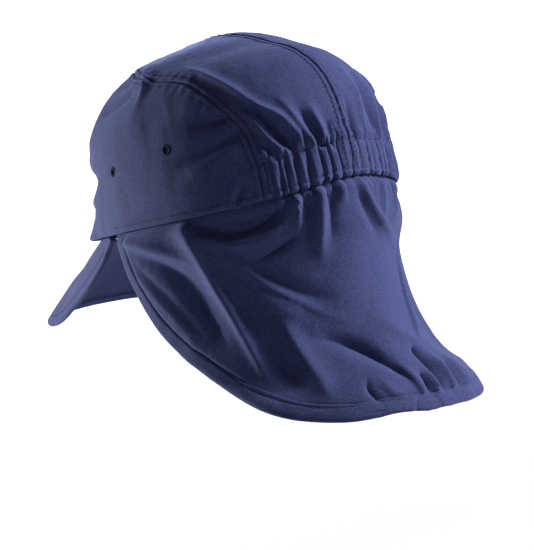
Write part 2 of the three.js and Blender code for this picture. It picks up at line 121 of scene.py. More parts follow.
# Flap outline. Columns: share of the way round from the peak's end, drop share left, drop share right
FLAP_OUTLINE = [
    (0, 0, 0), (0.032, 0.05, 0.05), (0.063, 0.258, 0.2), (0.136, 0.424, 0.36), (0.23, 0.549, 0.53),
    (0.327, 0.64, 0.66), (0.439, 0.742, 0.79), (0.548, 0.828, 0.89), (0.648, 0.895, 0.955),
    (0.783, 0.955, 0.985), (0.902, 0.975, 0.998), (1, 1, 1),
]

# Fall of the flap. Columns: drop share, flare share
FLAP_PROFILE = [
    (0, 0), (0.151, -0.09), (0.262, -0.245), (0.421, -0.265), (0.524, -0.2), (0.635, -0.05),
    (0.714, 0.11), (0.77, 0.3), (0.817, 0.515), (0.881, 0.73), (0.937, 0.86), (1, 0.985), (1.2, 1.19),
]

# Valleys between the gathers of the shirred edge. Columns: angle, height in millimetres of the
# gather that follows, and how far it runs on above the band
GATHERS = [
    (144.6, 0.6, 5), (148.6, 2.6, 10), (151.7, 2.0, 9), (153.9, 2.5, 12), (157.5, 2.7, 13),
    (162.1, 2.7, 16), (167.6, 2.5, 14), (171.1, 2.1, 12), (175.6, 1.1, 10), (180.9, 0.9, 12),
    (185.0, 0.7, 14), (189.8, 1.0, 13), (192.8, 0.8, 16), (197.4, 1.3, 14), (200.2, 0.9, 15),
    (203.9, 1.4, 12), (206.6, 1.3, 13), (210.6, 1.1, 10), (213.4, 0.5, 5), (215.4, 0, 4),
]

# Folds of the crown. Each point: angle, height share, lift and half width in millimetres
CROWN_FOLDS = {
    "long_ridge": [(116, 0.81, 0.4, 3), (126, 0.753, 1.8, 2.6), (138, 0.639, 2.8, 2.6),
                   (147.5, 0.498, 3.4, 2.6), (154.9, 0.41, 3.8, 2.6), (160.3, 0.29, 3.2, 2.4),
                   (162.3, 0.21, 1.4, 2.0)],
    "deep_valley": [(144.0, 0.54, -1.0, 2.2), (146.7, 0.466, -3.6, 2.2), (151.0, 0.355, -6.2, 2.3),
                    (153.9, 0.288, -6.2, 2.2), (157.5, 0.215, -3.2, 1.8)],
    "valley_lip": [(142.2, 0.50, 0.6, 2.0), (146.0, 0.41, 2.2, 1.9), (150.4, 0.30, 2.8, 1.9),
                   (155.4, 0.205, 1.8, 1.8)],
    "small_valley": [(146.8, 0.29, -0.8, 1.4), (151.2, 0.2, -1.8, 1.4)],
    "small_ridge": [(145.8, 0.27, 0.9, 1.5), (149.6, 0.18, 1.6, 1.5)],
    "second_ridge": [(155.5, 0.52, 0.5, 4), (158.5, 0.455, 1.8, 3.4), (161.6, 0.35, 2.6, 2.8),
                     (164.6, 0.25, 2.4, 2.4), (166.1, 0.178, 1.2, 2.0)],
    "second_valley": [(162.4, 0.43, -0.6, 2.4), (164.5, 0.36, -2.2, 2.2), (166.6, 0.28, -3.2, 2.0),
                      (168.9, 0.21, -3.0, 1.7), (170.0, 0.17, -1.4, 1.5)],
    "third_ridge": [(167.4, 0.44, 0.8, 3.6), (169.2, 0.34, 2.2, 2.6), (171.0, 0.23, 2.2, 2.0),
                    (171.9, 0.16, 1.0, 1.6)],
    "third_valley": [(173.6, 0.33, -0.8, 2.4), (173.3, 0.26, -2.4, 2.0), (173.2, 0.2, -2.8, 1.7),
                     (174.0, 0.151, -1.2, 1.4)],
    "right_of_seam": [(185.6, 0.46, -0.6, 2.8), (184.8, 0.356, -1.8, 2.6), (184.5, 0.27, -2.2, 2.2),
                      (184.2, 0.186, -1.8, 1.8)],
    "right_ridge_a": [(191.5, 0.66, 0.6, 7), (194.5, 0.52, 1.6, 5), (192.5, 0.38, 1.8, 3.6),
                      (190.5, 0.24, 1.0, 2.4)],
    "right_valley_a": [(203.2, 0.62, -1.4, 6), (200.3, 0.49, -2.6, 4), (199.2, 0.37, -2.8, 3),
                       (198.3, 0.2, -1.8, 2.2)],
    "right_ridge_b": [(208, 0.58, 1.2, 5), (205.6, 0.45, 1.8, 4), (203, 0.34, 1.8, 3),
                      (201, 0.22, 1.2, 2.2)],
    "right_valley_b": [(211.5, 0.46, -1.2, 3), (208.5, 0.35, -2.2, 2.6), (205.7, 0.205, -1.6, 2)],
    "right_long_ridge": [(230, 0.72, 0.6, 4), (219, 0.54, 2.2, 3.4), (212.6, 0.36, 2.6, 3.0),
                         (208.6, 0.22, 1.4, 2.2)],
    "right_deep_valley": [(222, 0.47, -1.0, 3), (216.6, 0.34, -3.0, 2.8), (212.0, 0.22, -2.0, 2.2)],
    "front_ridge": [(72, 0.90, 0.2, 2.6), (82, 0.86, 1.4, 2.4), (92, 0.79, 2.8, 2.6),
                    (95, 0.70, 1.4, 3.4), (94, 0.60, 0.5, 5)],
    "front_crease": [(60, 0.66, -1.4, 4), (74, 0.70, -2.8, 3.6), (86, 0.74, -2.0, 3.2)],
    "front_plane": [(56, 0.78, -1.0, 9), (74, 0.80, -1.8, 6)],
    "front_bulge": [(53, 0.48, 2.4, 20), (53, 0.84, 3.6, 20)],
    "right_front_bulge": [(307, 0.48, 2.4, 20), (307, 0.82, 2.4, 20)],
    "flat_top": [(118, 0.86, -4.0, 30), (148, 0.89, -3.6, 30), (180, 0.9, -4.0, 30),
                 (212, 0.89, -4.6, 30), (242, 0.86, -4.6, 30)],
    "temple_dent": [(67, 0.31, -6.0, 7), (48, 0.32, -9.0, 7.5), (30, 0.32, -7.4, 10),
                    (8, 0.33, -2.0, 12)],
    "brow_flare": [(68, 0.0, 1.0, 5), (48, 0.0, 3.0, 6), (30, 0.0, 2.2, 6), (0, 0.0, 1.2, 6)],
    "brow_dent": [(63, 0.18, -3.0, 6), (48, 0.14, -4.6, 5.5), (34, 0.14, -3.2, 6)],
    "apex": [(60, 0.975, -1.4, 26), (180, 0.975, -1.4, 26)],
    "back_shoulder": [(236, 0.72, -1.8, 17), (233, 0.5, -1.2, 15)],
    "right_shoulder": [(217, 0.5, -2.4, 9), (216, 0.4, -2.4, 9)],
    "right_band_soft": [(226, 0.15, -1.8, 7), (222, 0.30, -1.8, 7)],
    "top_rear_soft": [(207, 0.8, -0.8, 10), (200, 0.97, -0.8, 12)],
    "top_front_soft": [(61, 0.98, -1.0, 12), (63, 0.93, -0.6, 12)],
    "brow_edge": [(58, 0.02, 0.8, 6), (48, 0.02, 0.8, 6)],
    "left_crown": [(60, 0.9, 0.8, 9), (50, 0.82, 0.8, 9)],
    "soft_valley": [(139.5, 0.385, -2.4, 2.8), (133, 0.35, -2.2, 3.6), (126, 0.315, -1.8, 4.2),
                    (116, 0.28, -0.6, 5)],
    "soft_lip": [(138, 0.31, 0.9, 4), (130, 0.26, 1.2, 5), (120, 0.22, 0.8, 6)],
    "seam_hollow": [(136.6, 0.475, -3.0, 2.8), (132.4, 0.475, -2.8, 3.6), (127, 0.47, -1.6, 4.2),
                    (121, 0.46, -0.5, 5)],
    "seam_lip": [(134.5, 0.53, 0.5, 3.4), (127, 0.54, 0.6, 4)],
    "side_swell": [(128, 0.17, 1.0, 9), (118, 0.16, 0.9, 11), (104, 0.2, 0.7, 13)],
    "rim_tuck": [(138.8, 0.115, -1.4, 1.2), (136.2, 0.055, -2.6, 1.3), (134.0, 0.0, -3.4, 1.5)],
    "rim_tuck_lip": [(135.4, 0.11, 0.4, 2.0), (132.2, 0.03, 1.2, 2.2), (130.8, 0.0, 1.4, 2.2)],
    "top_soft": [(150, 0.82, -0.8, 9)],
    "side_dent": [(100, 0.52, -0.9, 12), (112, 0.58, -1.0, 12)],
    "eyelet_dimple_front": [(85.2, 0.334, -0.7, 4), (86, 0.334, -0.7, 4)],
    "eyelet_dimple_rear": [(112.3, 0.378, -0.7, 4), (113, 0.378, -0.7, 4)],
    "right_side_soft": [(250, 0.4, -1.6, 10), (262, 0.5, -1.2, 12)],
    "right_side_crease": [(222, 0.40, -1.6, 4), (232, 0.36, -1.2, 5), (242, 0.33, -0.6, 7)],
    "right_temple": [(294, 0.31, -2.0, 6), (312, 0.335, -4.4, 7), (330, 0.33, -3.8, 10)],
    "right_brow": [(298, 0.14, -1.4, 5), (312, 0.14, -2.2, 5.5), (326, 0.14, -1.6, 6)],
    "right_brow_flare": [(294, 0.0, 1.0, 5), (312, 0.0, 2.2, 6), (330, 0.0, 1.6, 6)],
}

# Folds of the flap. Each point: angle, drop, lift and half width in millimetres
FLAP_FOLDS = {
    "strip_ridge": [(112.6, 0, 2.0, 8), (114.4, 5, 4.2, 7), (118.2, 20, 6.6, 5.8), (120.6, 36, 7.0, 4.4),
                    (123.7, 49, 6.0, 3.4), (127.2, 63, 4.2, 2.8), (130, 73, 3.2, 2.6),
                    (134.6, 90, 1.0, 2.6)],
    "corner_crest": [(86, 3, 1.6, 4), (90, 6, 2.6, 4), (97, 10, 3.2, 4), (105, 15, 3.0, 4.4),
                     (112, 20, 1.6, 4.6), (117, 26, 0.6, 4)],
    "left_valley": [(92, 14, -1.5, 6), (101, 20, -3.6, 8), (107, 30, -5.6, 8.4), (111.5, 42, -6.0, 8),
                    (116, 54, -4.6, 7), (121, 68, -2.2, 6)],
    "left_stripe": [(90, 18, -0.6, 2.8), (95, 29, -0.7, 3), (101, 41, -0.7, 3), (107, 53, -0.6, 3.4),
                    (113, 65, -0.3, 4)],
    "edge_bump": [(89, 24, 0.7, 3), (95, 38, 1.0, 3.6), (102, 52, 1.0, 4), (109, 66, 0.8, 5)],
    "step_crease": [(119.4, 6, 0.3, 3.2), (124, 16, 0.8, 2.6), (129.5, 28.5, 1.3, 1.8),
                    (134.6, 36, 1.5, 1.5), (141, 45, 1.3, 1.3), (149.5, 54.3, 0.9, 1.4),
                    (160, 66.7, 0.5, 2.2), (172, 76, 0.2, 4)],
    "below_step": [(122, 28, 0.4, 6), (130, 40, 1.2, 7), (139, 52, 1.6, 8), (150, 64, 1.2, 9)],
    "above_step": [(123, 10, -1.0, 3), (131, 22, -2.4, 3.4), (138, 33, -3.2, 3.8), (146, 44, -3.2, 4.4),
                   (155, 54, -2.2, 5.4), (166, 62, -0.8, 6)],
    "rim_hollow": [(116.5, 3, -2.0, 2.4), (121, 7, -6.4, 2.6), (128.5, 11.5, -9.0, 2.8),
                   (136.5, 13.5, -9.0, 2.8), (144.6, 11, -7.4, 2.6), (150, 6, -3.6, 2.4),
                   (152.6, 2, -1.2, 2.4)],
    "rim_hollow_wide": [(120, 3, -2.0, 5), (130, 6, -4.2, 5), (140, 7, -4.2, 5), (148, 4, -2.0, 4)],
    "hollow_lip": [(119, 10, 0.8, 2.6), (127, 16.5, 2.2, 2.6), (136, 18.8, 2.6, 2.6),
                   (145, 16.4, 2.2, 2.4), (151.5, 11, 1.0, 2.4)],
    "wedge_dark": [(134.6, 29, -0.8, 2.2), (138, 28, -2.4, 2.4), (144.7, 26, -4.6, 2.8),
                   (151, 23, -4.4, 2.8), (155.4, 19, -1.8, 2.6)],
    "ridge_a": [(155.2, 0, 2.6, 2.0), (155, 8, 3.8, 2.0), (154.3, 16, 2.6, 2.2), (153.6, 23, 0.6, 2.8)],
    "ridge_b": [(164.2, 0, 2.8, 2.8), (163.6, 10, 4.6, 3.0), (162.6, 24, 3.6, 3.2), (161.8, 38, 0.8, 4)],
    "valley_b": [(159.6, 2, -2.2, 2.6), (159, 14, -3.6, 3.0), (157.8, 28, -1.8, 4)],
    "ridge_c": [(174.5, 0, 2.0, 1.8), (174.3, 7, 1.8, 2), (174, 13, 0.4, 2.6)],
    "valley_c": [(169.6, 1, -2.2, 2.6), (169, 12, -3.2, 3), (167.6, 30, -1.4, 5)],
    "crease_d": [(183.4, 1, 1.2, 1.6), (186, 11, 2.2, 1.6), (190.5, 20, 2.2, 1.8), (198, 27, 1.4, 2.4),
                 (207, 33, 0.5, 4)],
    "below_d": [(181.6, 8, -1.4, 3), (185, 20, -1.8, 3.6), (192, 30, -1.2, 4.4)],
    "lobe_e": [(142.6, 62, 0.8, 5), (144.6, 72, 3.4, 5.4), (147.8, 84, 5.2, 6.4), (150.6, 94, 5.2, 7),
               (152.6, 104, 3.0, 6)],
    "lobe_left": [(138, 74, -0.7, 5), (141, 88, -1.2, 5.4), (144, 100, -0.8, 5)],
    "hollow_f": [(153, 76, -0.8, 6), (160, 81, -3.2, 5.4), (166, 86.5, -6.0, 5.4),
                 (171.5, 93.5, -7.4, 5.4), (175.8, 102, -6.6, 4.6), (178.2, 109.5, -3.2, 3)],
    "arc_g": [(165.2, 103.5, -1.2, 2), (164.2, 109, -2.4, 2), (166, 115, -2.2, 2), (169, 118, -0.8, 2)],
    "arc_lip": [(168.6, 106, 1.6, 3.4), (170.4, 112, 2.2, 3.4), (174, 116, 1.2, 3)],
    "ridge_h": [(178.6, 101, 1.2, 2), (179.4, 109, 3.0, 2), (180.2, 117, 1.8, 2)],
    "wedge_h": [(183.2, 107, -1.8, 1.8), (183.2, 113, -3.2, 1.9), (182.8, 119, -1.6, 1.8)],
    "ridge_i": [(186, 107, 1.6, 1.8), (185.8, 113, 2.6, 1.8), (185.4, 119.5, 1.6, 1.8)],
    "wedge_i": [(190.8, 92, -1.6, 3), (190.4, 98, -6.2, 3.8), (190.2, 105, -7.8, 3.8),
                (189.4, 112, -5.4, 2.8), (188.4, 119, -2.0, 1.8)],
    "ridge_j": [(195.6, 99, 1.4, 2.8), (194.2, 108, 3.0, 2.4), (192.4, 118, 2.4, 2)],
    "valley_k": [(199, 103, -1.0, 2), (197.6, 110, -2.4, 1.9), (196.4, 117.5, -1.8, 1.7)],
    "ridge_k": [(203, 99, 1.0, 3), (201.4, 108, 2.4, 2.6), (199.6, 117, 2.0, 2)],
    "valley_l": [(206.5, 102, -0.8, 2), (204.6, 110, -1.8, 2), (202.8, 117, -1.2, 1.8)],
    "upper_lobe": [(176, 72, 0.6, 10), (185, 82, 2.6, 9), (194, 90, 2.4, 7)],
    "side_line": [(214, 34, 0.8, 2.2), (210.6, 50, 3.0, 1.8), (207, 66, 3.5, 1.7), (203.4, 77, 3.0, 1.8),
                  (199, 88, 1, 3)],
    "side_crease": [(219, 20, -1.2, 5), (216, 38, -3.2, 5), (211, 60, -4.0, 4.6), (207, 76, -2.2, 4.4),
                    (203, 88, -0.8, 5)],
    "right_wave_a": [(232, 14, -1.0, 8), (226, 50, -2.0, 8), (221, 84, -1.6, 8), (217, 104, -0.8, 7)],
    "right_wave_b": [(240, 16, 1.6, 9), (234, 48, 2.6, 9), (229, 78, 2.0, 8), (226, 98, 0.8, 7)],
    "right_wave_c": [(252, 10, -1.6, 8), (246, 34, -3.0, 8), (240, 56, -1.6, 8)],
    "right_wave_d": [(266, 8, -1.2, 7), (262, 26, -2.2, 7), (255, 46, -1.2, 7)],
    "right_rim_hollow": [(206, 6, -1.6, 6), (219, 8, -3.4, 7), (231, 7, -3.0, 7), (241, 4, -1.2, 5)],
    "right_rib_a": [(196.5, 2, 1.6, 2.4), (196, 14, 1.4, 2.8), (195.4, 26, 0.3, 4)],
    "right_rib_b": [(206, 2, 1.8, 2.4), (206, 12, 1.6, 2.8), (206.6, 22, 0.3, 4)],
}


def smooth(x, low, high):
    t = np.clip((np.asarray(x, float) - low) / (high - low), 0, 1)
    return t * t * (3 - 2 * t)


def mix(a, b, share):
    return a + (b - a) * share


def bell(distance, width):
    return np.exp(-(distance / width) ** 2)


def unit(vectors):
    return vectors / np.maximum(np.linalg.norm(vectors, axis=-1, keepdims=True), 1e-12)


def waves(points, length, seed, count=9):
    """Smooth uneven ripples of about that length in millimetres, between about -1 and 1."""
    random = np.random.default_rng(seed)
    directions = unit(random.normal(size=(count, 3)))
    pace = 2 * np.pi / (length * random.uniform(0.7, 1.5, count))
    phase = random.uniform(0, 2 * np.pi, count)
    return np.sin(points @ (directions * pace[:, None]).T + phase).sum(-1) / math.sqrt(2 * count)


def through(points, shares):
    """Points at shares of the length of a smooth curve through a few points."""
    points = np.asarray(points, float)
    last = len(points) - 1
    at = np.linspace(0, last, 40 * last + 1)
    row = np.minimum(at.astype(int), last - 1)
    t = (at - row)[:, None]
    p0, p1 = points[np.maximum(row - 1, 0)], points[row]
    p2, p3 = points[row + 1], points[np.minimum(row + 2, last)]
    v1, v2 = (p2 - p0) / 2, (p3 - p1) / 2
    line = (2 * p1 - 2 * p2 + v1 + v2) * t ** 3 + (3 * p2 - 3 * p1 - 2 * v1 - v2) * t ** 2 + v1 * t + p1
    run = np.concatenate([[0], np.cumsum(np.linalg.norm(np.diff(line, axis=0), axis=1))])
    return np.stack([np.interp(np.asarray(shares) * run[-1], run, line[:, k])
                     for k in range(points.shape[1])], -1)


def read_table(table, at):
    """Second column of a table on a smooth curve through its rows."""
    x, y = (np.array([row[k] for row in table], float) for k in (0, 1))
    slope = np.gradient(y, x)
    slope[0], slope[-1] = (y[1] - y[0]) / (x[1] - x[0]), (y[-1] - y[-2]) / (x[-1] - x[-2])
    row = np.clip(np.searchsorted(x, at) - 1, 0, len(x) - 2)
    run = x[row + 1] - x[row]
    t = np.clip((at - x[row]) / run, 0, 1)
    curve = (2 * t ** 3 - 3 * t ** 2) * (y[row] - y[row + 1]) + y[row]
    return curve + run * ((t ** 3 - 2 * t ** 2 + t) * slope[row] + (t ** 3 - t ** 2) * slope[row + 1])


def nearest_on(points, line):
    """Distance from each point to a line of points, the share along it, and the side vector."""
    flat = points.reshape(-1, 3)
    best = np.full(len(flat), np.inf)
    share = np.zeros(len(flat))
    offset = np.zeros_like(flat)
    for step in range(len(line) - 1):
        run = line[step + 1] - line[step]
        t = np.clip((flat - line[step]) @ run / max(run @ run, 1e-9), 0, 1)
        away = flat - (line[step] + t[:, None] * run)
        distance = np.linalg.norm(away, axis=1)
        nearer = distance < best
        best = np.where(nearer, distance, best)
        share = np.where(nearer, (step + t) / (len(line) - 1), share)
        offset = np.where(nearer[:, None], away, offset)
    shape = points.shape[:-1]
    return best.reshape(shape), share.reshape(shape), offset.reshape(points.shape)


def rim_height(angle):
    away = BACK - np.abs((np.asarray(angle, float) + BACK) % (2 * BACK) - BACK)
    return BACK_RISE * np.exp(-(away / BACK_RISE_ANGLE) ** 2)


HEIGHTS = np.linspace(0, 1, 4001)
CLIMBS = np.arctan2(np.sqrt(1 - HEIGHTS ** CROWN_FULLNESS), HEIGHTS) / (np.pi / 2)


def climb_of(height_share):
    return np.interp(height_share, HEIGHTS, CLIMBS)


def disc(angle, climb):
    """Crown coordinates: the rim is the edge of a unit disc and the top is its centre."""
    turn = np.radians(angle)
    return np.stack([climb * np.sin(turn), -climb * np.cos(turn)], -1)


def disc_angle(at):
    return np.degrees(np.arctan2(at[..., 0], -at[..., 1])) % (2 * BACK)


def dome(at):
    """Plain dome in millimetres at points of the disc."""
    climb = np.minimum(np.linalg.norm(at, axis=-1), 1)
    turn = np.arctan2(at[..., 0], -at[..., 1])
    share = np.interp(-climb, -CLIMBS, HEIGHTS)
    spread = np.sqrt(np.maximum(1 - share ** CROWN_FULLNESS, 0))
    rise = rim_height(np.degrees(turn))
    return np.stack([
        RIM_WIDTH / 2 * np.sin(turn) * spread,
        -RIM_LENGTH / 2 * np.cos(turn) * spread + CROWN_LEAN * share ** 2,
        rise + (CROWN_HEIGHT - rise) * share,
    ], -1)


def dome_outward(point):
    lean = CROWN_LEAN * (point[..., 2] / CROWN_HEIGHT) ** 2
    up = (np.clip(point[..., 2], 0, None) / CROWN_HEIGHT) ** (CROWN_FULLNESS - 1) / CROWN_HEIGHT
    return unit(np.stack([
        point[..., 0] / (RIM_WIDTH / 2) ** 2, (point[..., 1] - lean) / (RIM_LENGTH / 2) ** 2, up], -1))


def fold_lines(folds, place):
    """Each fold as a dense line on its surface with its lift and width at each point."""
    lines = []
    for path in folds.values():
        path = np.array(path, float)
        rows = through(path, np.linspace(0, 1, 6 * (len(path) - 1) + 1))
        ends = np.linspace(0, 1, len(rows))
        ease = smooth(ends, -0.12, 0.14) * smooth(1 - ends, -0.12, 0.14)
        lines.append((place(rows[:, 0], rows[:, 1]), rows[:, 2] * ease, np.maximum(rows[:, 3], 1)))
    return lines


def fold_lift(points, lines):
    total = np.zeros(points.shape[:-1])
    for line, lifts, widths in lines:
        distance, share, _ = nearest_on(points, line)
        stations = np.linspace(0, 1, len(line))
        lift = np.interp(share, stations, lifts)
        width = np.interp(share, stations, widths)
        blunt = np.maximum(0.03, (0.8 / width) ** 2)
        pointed = np.exp(1.7 * (np.sqrt(blunt) - np.sqrt((distance / width) ** 2 + blunt)))
        crest = 0.5 * bell(distance, width) + 0.5 * pointed
        total += lift * crest
    return total


def gather_lift(angle, above, reach_scale=1.0):
    """Rounded gathers with sharp valleys, at a height above the band's top (negative inside it)."""
    valleys = np.array([row[0] for row in GATHERS])
    heights = np.array([row[1] for row in GATHERS])
    reaches = np.array([row[2] for row in GATHERS])
    wobble = 0.35 * np.sin(above / 4.2 + angle * 1.7)
    angle = angle + wobble
    row = np.clip(np.searchsorted(valleys, angle) - 1, 0, len(valleys) - 2)
    across = np.clip((angle - valleys[row]) / (valleys[row + 1] - valleys[row]), 0, 1)
    lobe = 1.25 * np.sin(np.pi * across) ** 0.5 - 0.72
    inside = (angle > valleys[0]) & (angle < valleys[-1])
    fade = 1 - smooth(above, 0, reaches[row] * reach_scale)
    return np.where(inside, 1.2 * heights[row] * lobe * fade, 0)


SEAM_STATIONS = np.linspace(0, 1, 241)


def seam_disc(sideways=0):
    """Side seam of the wearer's left on the disc, moved to one side of its line."""
    gap_climb = SEAM_GAP / 2 / (np.pi / 2 * (RIM_LENGTH + RIM_WIDTH) / 4 + CROWN_HEIGHT / 4)
    gap_angle = math.degrees(SEAM_GAP / RIM_WIDTH)
    table = np.array(SIDE_SEAM, float)
    angle = table[:, 0] * (BAND_EDGE_ANGLE + sideways * gap_angle)
    height = mix(BAND_HEIGHT, BROW_ARCH_HEIGHT, table[:, 1]) / CROWN_HEIGHT
    return disc(angle, climb_of(height) - sideways * gap_climb)


band_climb = float(climb_of(BAND_HEIGHT / CROWN_HEIGHT))
side_seam = through(seam_disc(), SEAM_STATIONS)
band_side = np.stack([disc(BAND_EDGE_ANGLE, climb) for climb in np.linspace(1, band_climb, 12)])
whole_side = np.concatenate([band_side[:-1], side_seam])
mirror_disc = np.array([-1.0, 1.0])
mirror_space = np.array([-1.0, 1.0, 1.0])


def stray(climb):
    """Disc step of the centre seam to the wearer's left, at a signed climb that is positive behind."""
    return read_table(CENTRE_SEAM_STRAY, climb) / (RIM_WIDTH / 2)


arch_climb = float(np.linalg.norm(side_seam[-1]))
centre_climbs = np.linspace(1, -arch_climb, 260)
centre_seam = np.stack([stray(centre_climbs) * smooth(centre_climbs + arch_climb, 0, 0.3), centre_climbs], -1)

side_line = dome(whole_side)
centre_line = dome(centre_seam)
crown_fold_lines = fold_lines(CROWN_FOLDS, lambda angle, height: dome(disc(angle, climb_of(height))))
side_length = np.linalg.norm(np.diff(side_line, axis=0), axis=1).sum()
centre_length = np.linalg.norm(np.diff(centre_line, axis=0), axis=1).sum()


def seam_relief(distance, share, length, pucker, seed):
    """Groove at a seam, the thicker strip beside it, its stitched rows and their puckers."""
    run = share * length
    groove = -0.6 * bell(distance, 0.45)
    strip = 0.32 * smooth(distance, 0.4, 1.4) * (1 - smooth(distance, SEAM_ROW, SEAM_ROW + 0.9))
    row = -0.4 * bell(distance - SEAM_ROW, 0.45)
    ripple = np.sin(2 * np.pi * run / 7.3 + 2.4 * np.sin(run / 23 + seed)) * bell(distance - SEAM_ROW, 3.2)
    return groove + strip + row + pucker * ripple


def crown_lift(at, base):
    """Everything that stands out of or sinks into the plain dome, in millimetres."""
    angle = disc_angle(at)
    above_rim = base[..., 2] - rim_height(angle)
    lift = fold_lift(base, crown_fold_lines)
    pinch = 1 - 0.6 * bell(above_rim - BAND_HEIGHT, 0.8) - 0.6 * bell(above_rim - RIM_ROW, 0.7)
    lift += gather_lift(angle, above_rim - BAND_HEIGHT) * pinch
    lift -= RIM_ROLL * (1 - smooth(above_rim, 0, 3)) ** 2
    in_band = smooth(angle, BAND_EDGE_ANGLE, 149) * (1 - smooth(angle, 211, 2 * BACK - BAND_EDGE_ANGLE))
    lift -= in_band * (0.55 * bell(above_rim - BAND_HEIGHT, 0.7) + 0.45 * bell(above_rim - RIM_ROW, 0.6))
    lift += in_band * 0.7 * bell(above_rim - BAND_HEIGHT - 3.5, 2.6)
    for side in (1, -1):
        turned = base * (mirror_space if side < 0 else 1)
        distance, share, _ = nearest_on(turned, side_line[::3])
        lift += seam_relief(distance, share, side_length, 0.16, side)
    distance, share, _ = nearest_on(base, centre_line[::3])
    quiet = 0.35 + 0.65 * smooth(above_rim, BAND_HEIGHT, BAND_HEIGHT + 8)
    lift += seam_relief(distance, share, centre_length, 0.14, 5) * quiet
    lift -= 0.9 * (1 - smooth(above_rim, 0, 1.6)) ** 2
    lift += 0.35 * waves(base, 34, 3) + 0.16 * waves(base, 13, 4) + 0.05 * waves(base, 5, 6)
    return lift


def crown(at):
    """Outer face of the crown cloth in millimetres at points of the disc."""
    base = dome(at)
    moved = base + dome_outward(base) * crown_lift(at, base)[..., None]
    angle = disc_angle(at)
    above_rim = base[..., 2] - rim_height(angle)
    at_rim = gather_lift(angle, np.full_like(above_rim, -BAND_HEIGHT))
    moved[..., 2] -= SCALLOP * at_rim * (1 - smooth(above_rim, 0, 7))
    return moved


def rim_point(angle, out):
    base = dome(disc(angle, np.ones_like(np.asarray(angle, float))))
    outward = dome_outward(base)
    outward[..., 2] = 0
    return base + unit(outward) * np.asarray(out)[..., None]


def flap_base(angle, drop):
    share = drop / FLAP_DROP
    around = BACK - np.abs(angle - BACK)
    behind = smooth(around, FLARE_START_ANGLE, FLARE_FULL_ANGLE)
    flare = read_table(FLAP_PROFILE, share)
    out = FLAP_FLARE * flare * np.where(flare > 0, behind, mix(SIDE_HOLLOW_SHARE, 1, behind))
    point = rim_point(angle, out - 0.6 - (FLAP_TUCK - 0.6) * (1 - smooth(drop, 0, TUCK_DEPTH)))
    point[..., 2] = rim_height(angle) - HANG_GAP - drop
    return point


def outline_plane(side, inset, shares):
    """Flap outline on one side, moved in from the edge, as millimetres round and down."""
    rows = [(mix(PEAK_END_ANGLE, BACK, row[0]) * ROUND_PER_DEGREE, row[1 if side > 0 else 2] * FLAP_DROP)
            for row in FLAP_OUTLINE]
    line = through(rows, shares)
    along = unit(np.gradient(line, axis=0))
    moved = line + np.stack([along[:, 1], -along[:, 0]], -1) * inset
    moved[-1, 0] = BACK * ROUND_PER_DEGREE
    moved[:, 1] = np.maximum(moved[:, 1], 0)
    moved[0, 1] = 0
    angle = moved[:, 0] / ROUND_PER_DEGREE
    return np.stack([angle if side > 0 else 2 * BACK - angle, moved[:, 1]], -1)


OUTLINE_SHARES = np.linspace(0, 1, 321)
outlines = {side: outline_plane(side, 0, OUTLINE_SHARES) for side in (1, -1)}
flap_fold_lines = fold_lines(FLAP_FOLDS, flap_base)
hem_lines = [flap_base(line[:, 0], line[:, 1]) for line in outlines.values()]


def flap(angle, drop):
    """Outer face of the flap cloth in millimetres."""
    base = flap_base(angle, drop)
    lift = fold_lift(base, flap_fold_lines) * mix(0.35, 1, smooth(drop, 0, 5))
    lift += 0.75 * gather_lift(angle, drop - 2, 0.9)
    for seed, line in enumerate(hem_lines):
        distance, share, _ = nearest_on(base, line[::4])
        lift *= mix(TAPE_CALM, 1, np.maximum(smooth(distance, BINDING_WIDTH - 3, BINDING_WIDTH + 4),
                                             smooth(60 - drop, 0, 20)))
        run = share * 250
        pucker = np.sin(run / 4.1 + 1.8 * np.sin(run / 13 + seed)) * bell(distance - 7, 5.5)
        lift += 0.22 * pucker - 1.1 * bell(distance - BINDING_WIDTH - 0.3, 0.9)
    lift += 0.7 * waves(base, 55, 11) + 0.25 * waves(base, 19, 12) + 0.06 * waves(base, 6, 13)
    outward = np.stack([base[..., 0], base[..., 1], np.zeros_like(lift)], -1)
    return base + unit(outward) * (lift * smooth(drop, -6, 3))[..., None]


def peak_edge(shares):
    end = rim_point(np.array(PEAK_END_ANGLE), 0.0)
    half = [(end[0] * width, -RIM_LENGTH / 2 - PEAK_LENGTH * reach, -PEAK_DROP * drop)
            for width, reach, drop in PEAK_EDGE] + [tuple(end)]
    left = [(-x, y, z) for x, y, z in half[:0:-1]]
    return through(left + half, shares)


PEAK_SHARES = np.linspace(0, 1, 801)
peak_edge_line = peak_edge(PEAK_SHARES)


def peak(across, out):
    """Upper face of the peak: across runs from the wearer's right end to the left, out to the edge."""
    root = rim_point(PEAK_END_ANGLE * across, np.full_like(across, -PEAK_TUCK))
    edge = np.stack([np.interp((1 + across) / 2, PEAK_SHARES, peak_edge_line[:, k]) for k in range(3)], -1)
    point = root + (edge - root) * out[..., None]
    point[..., 2] += PEAK_ARCH * np.sin(np.pi * out) * (1 - across ** 2) - HANG_GAP
    reach = np.linalg.norm(edge - root, axis=-1)
    inside = (1 - out) * reach
    point[..., 2] += -0.28 * bell(inside - PEAK_ROW, 0.6) + 0.12 * waves(point, 24, 21)
    return point


def grid_normals(points):
    across = np.gradient(points, axis=1)
    down = np.gradient(points, axis=0)
    return unit(np.cross(across, down))


